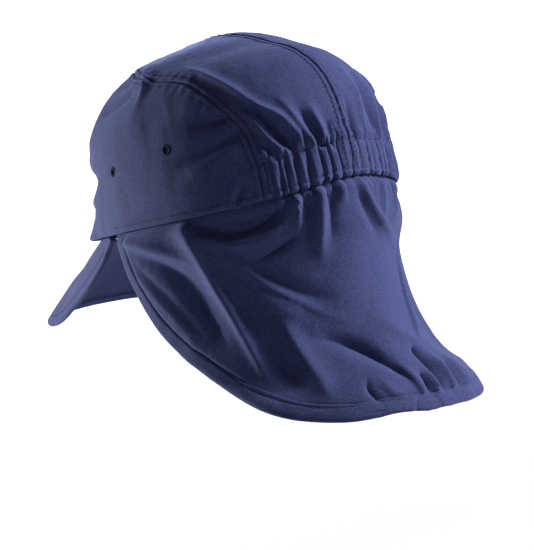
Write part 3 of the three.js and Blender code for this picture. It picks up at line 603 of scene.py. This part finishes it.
def new_object(name, vertices, faces, uv=None):
    """Smooth-shaded mesh object from vertices and a flat chart in millimetres."""
    mesh = bpy.data.meshes.new(name)
    faces = faces.tolist() if isinstance(faces, np.ndarray) else faces
    mesh.from_pydata((np.asarray(vertices) * MM).tolist(), [], faces)
    if uv is not None:
        layer = mesh.uv_layers.new(name="cloth")
        loops = np.empty(len(mesh.loops), dtype=np.int32)
        mesh.loops.foreach_get("vertex_index", loops)
        layer.data.foreach_set("uv", (np.asarray(uv)[loops] * MM).ravel())
    mesh.polygons.foreach_set("use_smooth", [True] * len(mesh.polygons))
    mesh.validate()
    mesh.update()
    made = bpy.data.objects.new(name, mesh)
    bpy.context.scene.collection.objects.link(made)
    return made


def edge_walls(faces, count):
    """Quads that join the free edges of a sheet to its copy, whose vertices come count later."""
    edges = np.concatenate([faces[:, [k, (k + 1) % 4]] for k in range(4)])
    key = np.sort(edges, axis=1)
    _, index, uses = np.unique(key, axis=0, return_index=True, return_counts=True)
    free = edges[index[uses == 1]]
    return np.stack([free[:, 1], free[:, 0], free[:, 0] + count, free[:, 1] + count], -1)


def cloth(name, points, wall, chart, keep=None):
    """Closed sheet of cloth from a grid of its outer face and its flat chart, both in millimetres."""
    rows, columns = points.shape[:2]
    count = rows * columns
    normals = grid_normals(points)
    outer = points.reshape(-1, 3)
    inner = (points - normals * wall).reshape(-1, 3)
    at = np.arange(count).reshape(rows, columns)
    faces = np.stack([at[:-1, :-1], at[:-1, 1:], at[1:, 1:], at[1:, :-1]], -1).reshape(-1, 4)
    if keep is not None:
        faces = faces[keep(outer[faces].mean(1))]
    walls = edge_walls(faces, count)
    every = np.concatenate([faces, faces[:, ::-1] + count, walls])
    uv = chart.reshape(-1, 2)
    used, compact = np.unique(every, return_inverse=True)
    both = np.concatenate([outer, inner])[used]
    uvs = np.concatenate([uv, uv])[used]
    made = new_object(name, both, compact.reshape(-1, 4), uvs)
    made.data.set_sharp_from_angle(angle=math.radians(55))
    return made


FRONT_COLUMNS, FRONT_ROWS = 300, 104
REAR_COLUMNS, BAND_ROWS, REAR_ROWS = 140, 24, 176
FLAP_COLUMNS, FLAP_ROWS = 176, 132


def eyelet_seats():
    seats = []
    for side, word in ((1, "left"), (-1, "right")):
        for (angle, share), place in zip(EYELETS, ("front", "rear")):
            at = disc(side * angle, climb_of(share))
            around = [crown(at + step) for step in (np.array([0.02, 0]), np.array([-0.02, 0]),
                                                    np.array([0, 0.02]), np.array([0, -0.02]))]
            normal = unit(np.cross(around[0] - around[1], around[2] - around[3]))
            centre = crown(at)
            normal *= np.sign(normal @ dome_outward(centre))
            seats.append((f"eyelet_{word}_{place}", centre, normal))
    return seats


def front_panel(seats):
    top = through(seam_disc(-1), np.linspace(0, 1, FRONT_COLUMNS // 2 + 1))
    station = np.linspace(-1, 1, FRONT_COLUMNS + 1)
    half = np.abs(station)
    ends = top[::-1][np.rint(half * (FRONT_COLUMNS // 2)).astype(int)]
    ends = ends * np.stack([np.sign(station), np.ones_like(station)], -1)
    edge_angle = BAND_EDGE_ANGLE - math.degrees(SEAM_GAP / RIM_WIDTH)
    feet = disc(edge_angle * station, np.ones_like(station))
    share = np.linspace(0, 1, FRONT_ROWS + 1)[:, None, None]
    at = mix(feet[None], ends[None], share)

    def outside_holes(centres):
        clear = [np.linalg.norm(centres - centre, axis=1) > EYELET_WIDTH * HOLE_SHARE for _, centre, _ in seats]
        return np.all(clear, axis=0)

    signed = (disc_angle(at) + BACK) % (2 * BACK) - BACK
    chart = np.stack([signed * ROUND_PER_DEGREE, np.linalg.norm(at, axis=-1) * CROWN_RUN], -1)
    return cloth("front_panel_cloth", crown(at), CROWN_WALL, chart, keep=outside_holes)


def rear_panel(name, side):
    seam = through(seam_disc(1), np.linspace(0, 0.997, REAR_ROWS + 1))
    arch = float(np.linalg.norm(through(seam_disc(1), [1])[0]))
    band_share = np.linspace(0, 1, BAND_ROWS + 1)
    edge_angle = BAND_EDGE_ANGLE + math.degrees(SEAM_GAP / RIM_WIDTH)
    band_edge = disc(edge_angle, mix(1.0, band_climb, band_share))
    edge = np.concatenate([band_edge[:-1], seam])
    seam_share = np.concatenate([np.zeros(BAND_ROWS), np.linspace(0, 0.997, REAR_ROWS + 1)])
    back = np.concatenate([mix(1.0, band_climb, band_share)[:-1],
                           mix(band_climb, -arch, seam_share[BAND_ROWS:])])
    even = np.linspace(0, 1, REAR_COLUMNS + 1)
    across = (even - 0.5 * np.sin(2 * np.pi * even) / (2 * np.pi))[None, :, None]
    middle = np.stack([np.zeros_like(back), back], -1)
    straight = mix(middle[:, None], edge[:, None], across)
    end_angle = np.degrees(np.arctan2(edge[:, 0], -edge[:, 1]))
    share = across[..., 0]
    end_climb = np.linalg.norm(edge, axis=1)
    curved = disc(mix(BACK, end_angle[:, None], share), mix(np.abs(back)[:, None], end_climb[:, None], share))
    blend = smooth(seam_share, 0, 0.35)[:, None, None]
    at = mix(curved, straight, blend)
    strayed = stray(back) * smooth(back + arch, 0, 0.3)
    shift = (side * strayed)[:, None] * (1 - across[..., 0]) ** 2
    gap = SEAM_GAP / RIM_WIDTH
    at[..., 0] = np.maximum(at[..., 0] + shift, gap + (side * strayed)[:, None])
    at = at * [side, 1]
    if side > 0:
        at = at[:, ::-1]
    return cloth(name, crown(at), CROWN_WALL, at * CROWN_RUN)


def flap_grid(inset):
    """Angle and drop over the flap, drawn between its rim, front edges and hem."""
    front_share = 0.47
    stations = np.linspace(0, 1, 601)
    halves = []
    for side in (1, -1):
        outline = outline_plane(side, inset, stations)

        def pick(shares):
            return np.stack([np.interp(shares, stations, outline[:, k]) for k in (0, 1)], -1)

        u = np.linspace(0, 1, FLAP_COLUMNS + 1)
        v = np.linspace(0, 1, FLAP_ROWS + 1)
        start, back, corner = outline[0, 0], pick([1.0])[0], pick([front_share])[0]
        top = np.stack([mix(start, BACK, u), np.zeros_like(u)], -1)
        bottom = pick(mix(front_share, 1, u))
        front = pick(front_share * v)
        rear = np.stack([np.full_like(v, BACK), back[1] * v], -1)
        uu, vv = u[None, :, None], v[:, None, None]
        corners = mix(mix(np.array([start, 0]), np.array([BACK, 0]), uu), mix(corner, back, uu), vv)
        grid = mix(top[None], bottom[None], vv) + mix(front[:, None], rear[:, None], uu) - corners
        halves.append(grid if side > 0 else grid[:, ::-1][:, 1:])
    return np.concatenate(halves, axis=1)


def neck_flap():
    at = flap_grid(BINDING_WIDTH * 0.35)
    chart = at * [ROUND_PER_DEGREE, 1]
    return cloth("neck_flap_cloth", flap(at[..., 0], at[..., 1]), FLAP_WALL, chart)


def ring_faces(rings, sides, closed=False):
    at = np.arange(rings * sides).reshape(rings, sides)
    after = np.roll(at, -1, axis=0) if closed else at[1:]
    now = at if closed else at[:-1]
    return np.stack([now, np.roll(now, -1, axis=1), np.roll(after, -1, axis=1), after], -1).reshape(-1, 4)


# Section of the folded tape. Columns: share of its width from the edge, share of half its thickness
TAPE_SECTION = [
    (1.0, 0.4), (0.985, 0.95), (0.93, 1.12), (0.8, 1.06), (0.73, 0.66), (0.66, 0.98), (0.45, 1.08),
    (0.15, 1.0), (0.02, 0.6), (-0.02, 0.0), (0.02, -0.6), (0.15, -1.0), (0.45, -1.08), (0.66, -0.98),
    (0.73, -0.7), (0.8, -0.98), (0.93, -1.0), (0.985, -0.9), (1.0, -0.4),
]


def binding():
    """Folded tape round the free edge of the flap, with a rounded fold at its outside."""
    stations = np.linspace(0, 1, 301)
    rows = {}
    for inset in (0.0, BINDING_WIDTH):
        left = outline_plane(1, inset, stations)
        right = outline_plane(-1, inset, stations)[::-1][1:]
        both = np.concatenate([left, right])
        rows[inset] = flap(both[:, 0], both[:, 1])
    edge, inside = rows[0.0], rows[BINDING_WIDTH]
    along = unit(np.gradient(edge, axis=0))
    normal = unit(np.cross(inside - edge, along))
    normal *= np.sign((normal * (edge * [1, 1, 0])).sum(-1, keepdims=True))
    run = np.concatenate([[0], np.cumsum(np.linalg.norm(np.diff(edge, axis=0), axis=1))])
    pucker = 0.14 * np.sin(run / 2.6 + np.sin(run / 9)) + 0.1 * waves(edge, 9, 31)
    half = BINDING_WALL / 2
    rings = []
    centre = -FLAP_WALL / 2
    for across, out in TAPE_SECTION:
        place = mix(edge, inside, across)
        swell = out * half + np.sign(out) * pucker * (0.3 < across < 0.7)
        rings.append(place + normal * (centre + swell)[:, None])
    points = np.stack(rings, axis=1)
    count, sides = points.shape[:2]
    faces = ring_faces(count, sides).tolist()
    faces.append(list(range(sides))[::-1])
    faces.append(list(range((count - 1) * sides, count * sides)))
    uv = np.stack([np.repeat(run, sides), np.tile([row[0] * BINDING_WIDTH for row in TAPE_SECTION], count)], -1)
    return new_object("flap_binding_tape", points.reshape(-1, 3), faces, uv)


def peak_piece():
    """Stiff peak with rounded edge: its upper face, the turn of the edge and its underside."""
    columns, rows, turn = 240, 90, 9
    across = np.linspace(-1, 1, columns + 1)[None, :] * np.ones((rows + 1, 1))
    out = np.linspace(0, 1, rows + 1)[:, None] * np.ones((1, columns + 1))
    upper = peak(across, out)
    normals = grid_normals(upper)
    normals *= np.sign(normals[..., 2:3].mean())
    edge_run = np.linalg.norm(upper - upper[-1], axis=-1)
    recess = smooth(edge_run, PEAK_BORDER - 0.4, PEAK_BORDER + 0.4)
    reach = np.linalg.norm(upper[-1] - upper[-2], axis=-1, keepdims=True)
    outward = (upper[-1] - upper[-2]) / reach
    layers = [upper[r] for r in range(rows + 1)]
    radius = PEAK_WALL / 2
    for step in range(1, turn):
        angle = np.pi * step / turn
        layers.append(upper[-1] - normals[-1] * radius * (1 - math.cos(angle))
                      + outward * radius * math.sin(angle) * 0.9)
    lower = upper - normals * (PEAK_WALL - PEAK_RECESS * recess)[..., None]
    layers += [lower[r] for r in range(rows, -1, -1)]
    points = np.stack(layers)
    total, width = points.shape[:2]
    at = np.arange(total * width).reshape(total, width)
    faces = np.stack([at[:-1, :-1], at[1:, :-1], at[1:, 1:], at[:-1, 1:]], -1).reshape(-1, 4).tolist()
    faces += np.stack([at[0, :-1], at[0, 1:], at[-1, 1:], at[-1, :-1]], -1).tolist()
    faces += [[int(v) for v in at[:, 0]][::-1], [int(v) for v in at[:, -1]]]
    run = np.concatenate([[0], np.cumsum(np.linalg.norm(np.diff(points[:, width // 2], axis=0), axis=1))])
    wide = across[0] * PEAK_CHART_HALF
    uv = np.stack(np.broadcast_arrays(wide[None, :], run[:, None]), -1).reshape(-1, 2)
    made = new_object("peak_cover", points.reshape(-1, 3), faces, uv)
    made.data.set_sharp_from_angle(angle=math.radians(60))
    return made


def eyelet(name, centre, normal):
    """Worked ring: radial threads wound round a punched hole."""
    threads, steps, sides = 26, 156, 12
    turn = np.linspace(0, 2 * np.pi, steps, endpoint=False)
    around = np.linspace(0, 2 * np.pi, sides, endpoint=False)
    ridge = 0.11 * np.abs(np.sin(turn * threads / 2))
    middle = (EYELET_BORE + EYELET_WIDTH) / 4
    half_wide = (EYELET_WIDTH - EYELET_BORE) / 4
    half_high = CROWN_WALL / 2 + 0.35
    grow = 1 + ridge[:, None]
    radius = middle + half_wide * np.cos(around)[None] * grow
    height = half_high * np.sin(around)[None] * grow - CROWN_WALL / 2
    side = unit(np.cross(normal, [0, 0, 1.0]))
    up = np.cross(side, normal)
    direction = np.cos(turn)[:, None] * side + np.sin(turn)[:, None] * up
    points = centre + direction[:, None] * radius[..., None] + normal * height[..., None]
    faces = ring_faces(steps, sides, closed=True)[:, ::-1]
    return new_object(f"{name}_thread", points.reshape(-1, 3), faces)


def stitch_shape():
    """One stitch along X: a thread whose ends dive into the cloth."""
    along = np.array([-1, -0.86, -0.5, 0, 0.5, 0.86, 1.0])
    thick = np.array([0.35, 0.8, 1.0, 1.06, 1.0, 0.8, 0.35])
    around = np.linspace(0, 2 * np.pi, 6, endpoint=False)
    rings = []
    for x, size in zip(along, thick):
        drop = -0.9 * x ** 4
        rings.append(np.stack([np.full(6, x), np.cos(around) * size, np.sin(around) * size + drop], -1))
    faces = ring_faces(len(along), 6).tolist()
    faces = [f[::-1] for f in faces]
    return np.stack(rings), faces


STITCH_RINGS, STITCH_FACES = stitch_shape()


def stitches(name, rows):
    """Joined stitches along rows, each a pair of line points and their normals in millimetres."""
    random = np.random.default_rng(7)
    vertices, faces = [], []
    template = STITCH_RINGS.reshape(-1, 3)
    for line, normals in rows:
        run = np.concatenate([[0], np.cumsum(np.linalg.norm(np.diff(line, axis=0), axis=1))])
        count = max(int(run[-1] / STITCH_PITCH), 1)
        for step in range(count):
            at = (step + 0.5) * run[-1] / count + random.normal() * 0.08
            here = np.array([np.interp(at, run, line[:, k]) for k in range(3)])
            ahead = np.array([np.interp(at + STITCH_LENGTH / 2, run, line[:, k]) for k in range(3)])
            behind = np.array([np.interp(at - STITCH_LENGTH / 2, run, line[:, k]) for k in range(3)])
            up = unit(np.array([np.interp(at, run, normals[:, k]) for k in range(3)]))
            along = unit(ahead - behind)
            across = unit(np.cross(up, along) + along * random.normal() * 0.03)
            up = np.cross(along, across)
            size = STITCH_THICKNESS / 2
            scaled = template * [STITCH_LENGTH / 2, size, size * 0.9]
            placed = here + scaled[:, :1] * along + scaled[:, 1:2] * across + (scaled[:, 2:] + 0.12) * up
            base = len(vertices) * len(template)
            vertices.append(placed)
            faces += [[v + base for v in face] for face in STITCH_FACES]
    per = len(template)
    for index in range(len(vertices)):
        start = index * per
        faces.append(list(range(start, start + 6)))
        faces.append(list(range(start + per - 6, start + per))[::-1])
    return new_object(name, np.concatenate(vertices), faces)


def surface_row(surface, at, offset, step):
    """A row on a surface beside a line of its coordinates, with the surface's normals there."""
    def slopes(a):
        du = (surface(a + [step, 0]) - surface(a - [step, 0])) / (2 * step)
        dv = (surface(a + [0, step]) - surface(a - [0, step])) / (2 * step)
        return du, dv
    du, dv = slopes(at)
    normal = unit(np.cross(du, dv))
    along = unit(np.gradient(surface(at), axis=0))
    want = np.cross(normal, along) * offset
    a, b, c = (du * du).sum(-1), (du * dv).sum(-1), (dv * dv).sum(-1)
    p, q = (du * want).sum(-1), (dv * want).sum(-1)
    det = a * c - b * b
    moved = at + np.stack([(c * p - b * q) / det, (a * q - b * p) / det], -1)
    du, dv = slopes(moved)
    return surface(moved), unit(np.cross(du, dv))


def outward_row(row):
    line, normals = row
    facing = np.sign((normals * dome_outward(line)).sum(-1, keepdims=True))
    return line, normals * facing


def crown_rows():
    """Stitch rows of the crown: beside the seams, in the band and along the rim."""
    rows = []
    for side in (1, -1):
        line = whole_side * (mirror_disc if side < 0 else 1)
        for offset in (-SEAM_ROW, SEAM_ROW):
            rows.append(sink_row(line[2:-2], offset))
    for offset in (-SEAM_ROW, SEAM_ROW):
        rows.append(sink_row(centre_seam[3:-10], offset))
    for height, ends, count in ((BAND_HEIGHT, BAND_ROW_ENDS, 500), (RIM_ROW, RIM_ROW_ENDS, 700)):
        angles = np.linspace(*ends, count)
        share = height / (CROWN_HEIGHT - rim_height(angles))
        rows.append(sink_row(disc(angles, climb_of(share)), 0))
    tack_angles = np.linspace(BAND_EDGE_ANGLE - TACK_REACH, BAND_EDGE_ANGLE + TACK_REACH, 12)
    tack = np.stack([disc(angle, band_climb) for angle in tack_angles])
    rows.append(sink_row(tack, 0))
    rows.append(sink_row(tack * mirror_disc, 0))
    return [outward_row(row) for row in rows]


def sink_row(line, offset):
    line = np.asarray(line, float)
    at = through(line[:: max(len(line) // 60, 1)], np.linspace(0, 1, 400))
    points, normals = surface_row(dome, at, offset, 0.01)
    moved = disc_of(points, at)
    return crown(moved), crown_normal(moved)


def disc_of(points, guess):
    """Disc coordinates of points near the dome, from a nearby guess, by a few Newton steps."""
    at = guess.copy()
    step = 0.004
    for _ in range(4):
        du = (dome(at + [step, 0]) - dome(at - [step, 0])) / (2 * step)
        dv = (dome(at + [0, step]) - dome(at - [0, step])) / (2 * step)
        want = points - dome(at)
        a, b, c = (du * du).sum(-1), (du * dv).sum(-1), (dv * dv).sum(-1)
        p, q = (du * want).sum(-1), (dv * want).sum(-1)
        det = np.maximum(a * c - b * b, 1e-6)
        at = at + np.stack([(c * p - b * q) / det, (a * q - b * p) / det], -1)
    return at


def crown_normal(at):
    step = 0.003
    du = crown(at + [step, 0]) - crown(at - [step, 0])
    dv = crown(at + [0, step]) - crown(at - [0, step])
    return unit(np.cross(du, dv))


def seam_allowances():
    """Turned edges of the cloth under the two side seams and the centre seam, as one mesh."""
    vertices, faces = [], []
    for line in (whole_side, whole_side * mirror_disc, centre_seam[1:]):
        strips = [outward_row(sink_row(line, offset)) for offset in (-ALLOWANCE_REACH, 0.0, ALLOWANCE_REACH)]
        upper = [row - normal * (CROWN_WALL + ALLOWANCE_GAP) for row, normal in strips]
        lower = [row - normal * (CROWN_WALL + ALLOWANCE_GAP + ALLOWANCE_WALL) for row, normal in strips]
        ring = np.stack(upper + lower[::-1], axis=1)
        count, sides = ring.shape[:2]
        start = sum(len(part) for part in vertices)
        middle = upper[1][count // 2] - strips[1][0][count // 2]
        along = upper[1][count // 2 + 1] - upper[1][count // 2]
        turned = np.cross(along, upper[2][count // 2] - upper[0][count // 2]) @ middle > 0
        quads = ring_faces(count, sides)
        ends = [list(range(sides)), list(range(count * sides - 1, count * sides - sides - 1, -1))]
        if turned:
            quads = quads[:, ::-1]
            ends = [end[::-1] for end in ends]
        vertices.append(ring.reshape(-1, 3))
        faces += (quads + start).tolist() + [[v + start for v in end] for end in ends]
    return new_object("crown_seam_allowances", np.concatenate(vertices), faces)


def peak_rows():
    across = np.linspace(-0.985, 0.985, 900)
    root = rim_point(PEAK_END_ANGLE * across, np.full_like(across, -PEAK_TUCK))
    edge = np.stack([np.interp((1 + across) / 2, PEAK_SHARES, peak_edge_line[:, k]) for k in range(3)], -1)
    reach = np.linalg.norm(edge - root, axis=-1)
    out = np.clip(1 - PEAK_ROW / np.maximum(reach, 1), 0.05, 1)
    line = peak(across, out)
    step = 0.01
    normal = unit(np.cross(peak(across + step, out) - peak(across - step, out),
                           peak(across, out + step) - peak(across, out - step)))
    normal *= np.sign(normal[:, 2:3].mean())
    keep = reach > PEAK_ROW_REACH + PEAK_TUCK
    under = line - normal * PEAK_WALL
    return [(line[keep], normal[keep]), (under[keep], -normal[keep])]


def binding_rows():
    rows = []
    for side in (1, -1):
        at = outline_plane(side, BINDING_WIDTH * TAPE_ROW_SHARE, np.linspace(0, 1, 500))[4:]
        line = flap(at[:, 0], at[:, 1])
        outer = flap(*outline_plane(side, 0, np.linspace(0, 1, 500))[4:].T)
        along = unit(np.gradient(line, axis=0))
        normal = unit(np.cross(line - outer, along))
        normal *= np.sign((normal * (line * [1, 1, 0])).sum(-1, keepdims=True))
        rows.append((line + normal * (BINDING_WALL * TAPE_ROW_HEIGHT - FLAP_WALL / 2), normal))
        rows.append((line - normal * (BINDING_WALL * TAPE_ROW_HEIGHT + FLAP_WALL / 2), -normal))
    return rows


TWILL_SLANT = 58.0
CLOTH_SURFACE = {"Roughness": 0.86, "Specular IOR Level": 0.12, "Sheen Weight": 0.25,
                 "Sheen Roughness": 0.42, "Sheen Tint": (0.40, 0.49, 1.0, 1)}
THREAD_SURFACE = {"Roughness": 0.8, "Specular IOR Level": 0.12}


def add_node(tree, kind, values, **settings):
    """Shader node with its settings and the values of its inputs."""
    node = tree.nodes.new(kind)
    for name, value in settings.items():
        setattr(node, name, value)
    for name, value in values.items():
        node.inputs[name].default_value = value
    return node


def new_material(name, values):
    """Material with values of its surface, its node tree, the surface and the place on the cloth."""
    material = bpy.data.materials.new(name)
    material.use_nodes = True
    tree = material.node_tree
    surface = tree.nodes["Principled BSDF"]
    for socket, value in values.items():
        surface.inputs[socket].default_value = value
    return material, tree, surface, tree.nodes.new("ShaderNodeTexCoord")


def noise(tree, place, scale, detail):
    node = add_node(tree, "ShaderNodeTexNoise", {"Scale": scale, "Detail": detail})
    tree.links.new(place.outputs["Object"], node.inputs["Vector"])
    return node.outputs["Fac"]


def multiply(tree, value, factor, added=None):
    """A socket times a number, with another socket added where there is one."""
    operation = "MULTIPLY" if added is None else "MULTIPLY_ADD"
    node = add_node(tree, "ShaderNodeMath", {1: factor}, operation=operation)
    tree.links.new(value, node.inputs[0])
    if added is not None:
        tree.links.new(added, node.inputs[2])
    return node.outputs["Value"]


def stretched(tree, value, start, end):
    """A socket's values mapped from the range start to the range end."""
    ranges = {"From Min": start[0], "From Max": start[1], "To Min": end[0], "To Max": end[1]}
    node = add_node(tree, "ShaderNodeMapRange", ranges)
    tree.links.new(value, node.inputs["Value"])
    return node.outputs["Result"]


def mixed(tree, first, second, factor, blend="MIX"):
    """Two colours mixed. Each value is a socket or a constant."""
    node = add_node(tree, "ShaderNodeMix", {}, data_type="RGBA", blend_type=blend)
    for name, value in (("A", first), ("B", second), ("Factor", factor)):
        if isinstance(value, bpy.types.NodeSocket):
            tree.links.new(value, node.inputs[name])
        else:
            node.inputs[name].default_value = value
    return node.outputs["Result"]


def bumped(tree, height, strength, distance, under=None):
    node = add_node(tree, "ShaderNodeBump", {"Strength": strength, "Distance": distance})
    tree.links.new(height, node.inputs["Height"])
    if under is not None:
        tree.links.new(under, node.inputs["Normal"])
    return node.outputs["Normal"]


def twill_material(name, colour, shade, weave=0.9, grain=1.0):
    """Brushed cotton twill: fine diagonal ribs, slubs and a soft bloom, from the cloth's own map."""
    material, tree, surface, place = new_material(name, CLOTH_SURFACE)
    turned = add_node(tree, "ShaderNodeMapping", {"Rotation": (0, 0, math.radians(TWILL_SLANT))})
    tree.links.new(place.outputs["UV"], turned.inputs["Vector"])
    wave = {"Scale": 0.314 / (weave * MM), "Distortion": 1.2, "Detail": 2.0}
    ribs_node = add_node(tree, "ShaderNodeTexWave", wave, wave_type="BANDS")
    tree.links.new(turned.outputs["Vector"], ribs_node.inputs["Vector"])
    ribs = ribs_node.outputs["Fac"]
    fibre = noise(tree, place, 2600, 3)
    slub = noise(tree, place, 420, 4)
    cloud = noise(tree, place, 38, 5)
    speck = noise(tree, place, 1250, 1.5)
    soft = bumped(tree, slub, 0.3 * grain, 0.0006)
    woven = bumped(tree, multiply(tree, ribs, 0.55, fibre), 0.42 * grain, 0.00022, soft)
    tree.links.new(woven, surface.inputs["Normal"])
    mottle = mixed(tree, (*shade, 1), (*colour, 1), multiply(tree, cloud, 0.45, multiply(tree, slub, 0.6)))
    flecks = stretched(tree, speck, (0.3, 0.7), (0.62, 1.5))
    yarns = stretched(tree, ribs, (0, 1), (0.7, 1.25))
    grainy = mixed(tree, mottle, flecks, 0.8, "MULTIPLY")
    tree.links.new(mixed(tree, grainy, yarns, 0.4, "MULTIPLY"), surface.inputs["Base Color"])
    return material


def thread_material(name, colour):
    """Twisted sewing thread, nearly matt."""
    material, tree, surface, place = new_material(name, THREAD_SURFACE)
    twist = noise(tree, place, 3000, 2)
    tree.links.new(bumped(tree, twist, 0.5, 0.0002), surface.inputs["Normal"])
    shaded = mixed(tree, (*[part * 0.6 for part in colour], 1), (*colour, 1), twist)
    tree.links.new(shaded, surface.inputs["Base Color"])
    return material


def dress(piece, material, slot, *nodes):
    piece.data.materials.clear()
    piece.data.materials.append(material)
    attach(piece, "root")
    if nodes:
        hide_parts(*nodes)
    return piece


NAVY = (0.027, 0.0335, 0.101)
NAVY_SHADE = (0.016, 0.0205, 0.063)
twill = twill_material("navy_twill", NAVY, NAVY_SHADE)
peak_twill = twill_material("navy_twill_peak", (0.028, 0.033, 0.102), (0.018, 0.021, 0.068))
tape_twill = twill_material("navy_tape", (0.026, 0.031, 0.092), (0.017, 0.0205, 0.062), weave=0.6)
thread = thread_material("navy_thread", (0.013, 0.015, 0.042))
eyelet_thread = thread_material("eyelet_thread", (0.007, 0.008, 0.026))


def build_cap():
    seats = eyelet_seats()
    dress(front_panel(seats), twill, "crown_twill", "front_panel")
    dress(rear_panel("rear_panel_left_cloth", 1), twill, "crown_twill", "rear_panel_left")
    dress(rear_panel("rear_panel_right_cloth", -1), twill, "crown_twill", "rear_panel_right")
    for name, centre, normal in seats:
        dress(eyelet(name, centre, normal), eyelet_thread, "eyelet_thread", name)
    dress(peak_piece(), peak_twill, "peak_twill", "peak")
    sheet = dress(neck_flap(), twill, "flap_twill", "neck_flap")
    tape = dress(binding(), tape_twill, "binding_twill", "flap_binding")
    dress(seam_allowances(), twill, "crown_twill")
    dress(stitches("crown_stitches", crown_rows()), thread, "crown_twill")
    dress(stitches("peak_stitches", peak_rows()), thread, "peak_twill")
    hem = dress(stitches("binding_stitches", binding_rows()), thread, "binding_twill")


# Camera: behind the wearer's left, level with the rim, tilted as the photograph is
CAMERA_PLACE = (0.6581, 0.8818, -0.0274)
CAMERA_AZIMUTH = 143.0
CAMERA_RISE = 0.5
CAMERA_ROLL = 10.6
CAMERA_FOCUS_PIXELS = 1958.0
FRAME_PIXELS_HIGH = 550.0
SENSOR = 36.0


def make_camera():
    turn, rise, roll = (math.radians(v) for v in (CAMERA_AZIMUTH, CAMERA_RISE, CAMERA_ROLL))
    back = Vector((math.sin(turn) * math.cos(rise), -math.cos(turn) * math.cos(rise), math.sin(rise)))
    right = Vector((math.cos(turn), math.sin(turn), 0))
    up = back.cross(right)
    side = right * math.cos(roll) - up * math.sin(roll)
    top = right * math.sin(roll) + up * math.cos(roll)
    data = bpy.data.cameras.new("camera")
    data.sensor_width = SENSOR
    data.lens = CAMERA_FOCUS_PIXELS / FRAME_PIXELS_HIGH * SENSOR
    data.clip_start = 0.05
    data.clip_end = 30
    made = bpy.data.objects.new("camera", data)
    turned = Matrix((side, top, back)).transposed().to_4x4()
    made.matrix_world = Matrix.Translation(CAMERA_PLACE) @ turned
    bpy.context.scene.collection.objects.link(made)
    bpy.context.scene.camera = made


def from_camera(right, towards, up):
    """A place in the cap's frame from steps to the picture's right, to the camera and up."""
    turn = math.radians(CAMERA_AZIMUTH)
    side = Vector((math.cos(turn), math.sin(turn), 0))
    near = Vector((math.sin(turn), -math.cos(turn), 0))
    return tuple(side * right + near * towards + Vector((0, 0, up)))


FLOOR_HEIGHT = -0.27
FLOOR_NEAR = 4.0
FLOOR_HALF_WIDTH = 3.0
SWEEP_START = 1.6
SWEEP_RADIUS = 0.6
WALL_TOP = 2.2


def plain_white(name, colour=(0.9, 0.9, 0.905)):
    material = bpy.data.materials.new(name)
    material.use_nodes = True
    surface = material.node_tree.nodes["Principled BSDF"]
    surface.inputs["Base Color"].default_value = (*colour, 1)
    surface.inputs["Roughness"].default_value = 0.95
    return material


def make_floor():
    """Pale floor that sweeps up into a plain wall beyond the cap."""
    profile = [(FLOOR_NEAR, 0.0), (0.0, 0.0), (-SWEEP_START, 0.0)]
    for step in range(1, 17):
        turn = math.pi / 2 * step / 16
        profile.append((-SWEEP_START - SWEEP_RADIUS * math.sin(turn), SWEEP_RADIUS * (1 - math.cos(turn))))
    profile.append((-SWEEP_START - SWEEP_RADIUS, WALL_TOP))
    vertices = [from_camera(right, towards, FLOOR_HEIGHT + height)
                for towards, height in profile for right in (-FLOOR_HALF_WIDTH, FLOOR_HALF_WIDTH)]
    faces = [(2 * row, 2 * row + 1, 2 * row + 3, 2 * row + 2) for row in range(len(profile) - 1)]
    mesh = bpy.data.meshes.new("floor")
    mesh.from_pydata(vertices, [], faces)
    mesh.polygons.foreach_set("use_smooth", [True] * len(mesh.polygons))
    floor = bpy.data.objects.new("floor", mesh)
    mesh.materials.append(plain_white("pale_floor", (0.5, 0.5, 0.5)))
    bpy.context.scene.collection.objects.link(floor)


def area_light(name, place, size, power, colour=(1, 1, 1), aim=(0, 0, -0.03)):
    data = bpy.data.lights.new(name, "AREA")
    data.shape = "RECTANGLE"
    data.size, data.size_y = size
    data.energy = power
    data.color = colour
    made = bpy.data.objects.new(name, data)
    direction = Vector(aim) - Vector(place)
    made.matrix_world = Matrix.Translation(place) @ direction.to_track_quat("-Z", "Y").to_matrix().to_4x4()
    bpy.context.scene.collection.objects.link(made)


def make_lights():
    area_light("left_side", from_camera(-1.25, -0.48, 0.08), (0.35, 0.5), 36)
    area_light("right_side", from_camera(1.2, 0.2, 0.58), (0.35, 0.5), 50)
    area_light("key", from_camera(-0.3, 1.5, 0.4), (0.35, 0.35), 3)
    wall_centre = from_camera(0.0, -2.2, 0.1)
    area_light("wall_left", from_camera(-1.1, -1.2, 0.2), (0.3, 0.8), 32, aim=wall_centre)
    area_light("wall_right", from_camera(1.1, -1.2, 0.2), (0.3, 0.8), 32, aim=wall_centre)
    world = bpy.data.worlds.new("studio")
    world.use_nodes = True
    background = world.node_tree.nodes["Background"]
    background.inputs["Color"].default_value = (1, 1, 1, 1)
    background.inputs["Strength"].default_value = 0.03
    bpy.context.scene.world = world
    bpy.context.scene.view_settings.view_transform = "Standard"


make_camera()
build_cap()
make_floor()
make_lights()
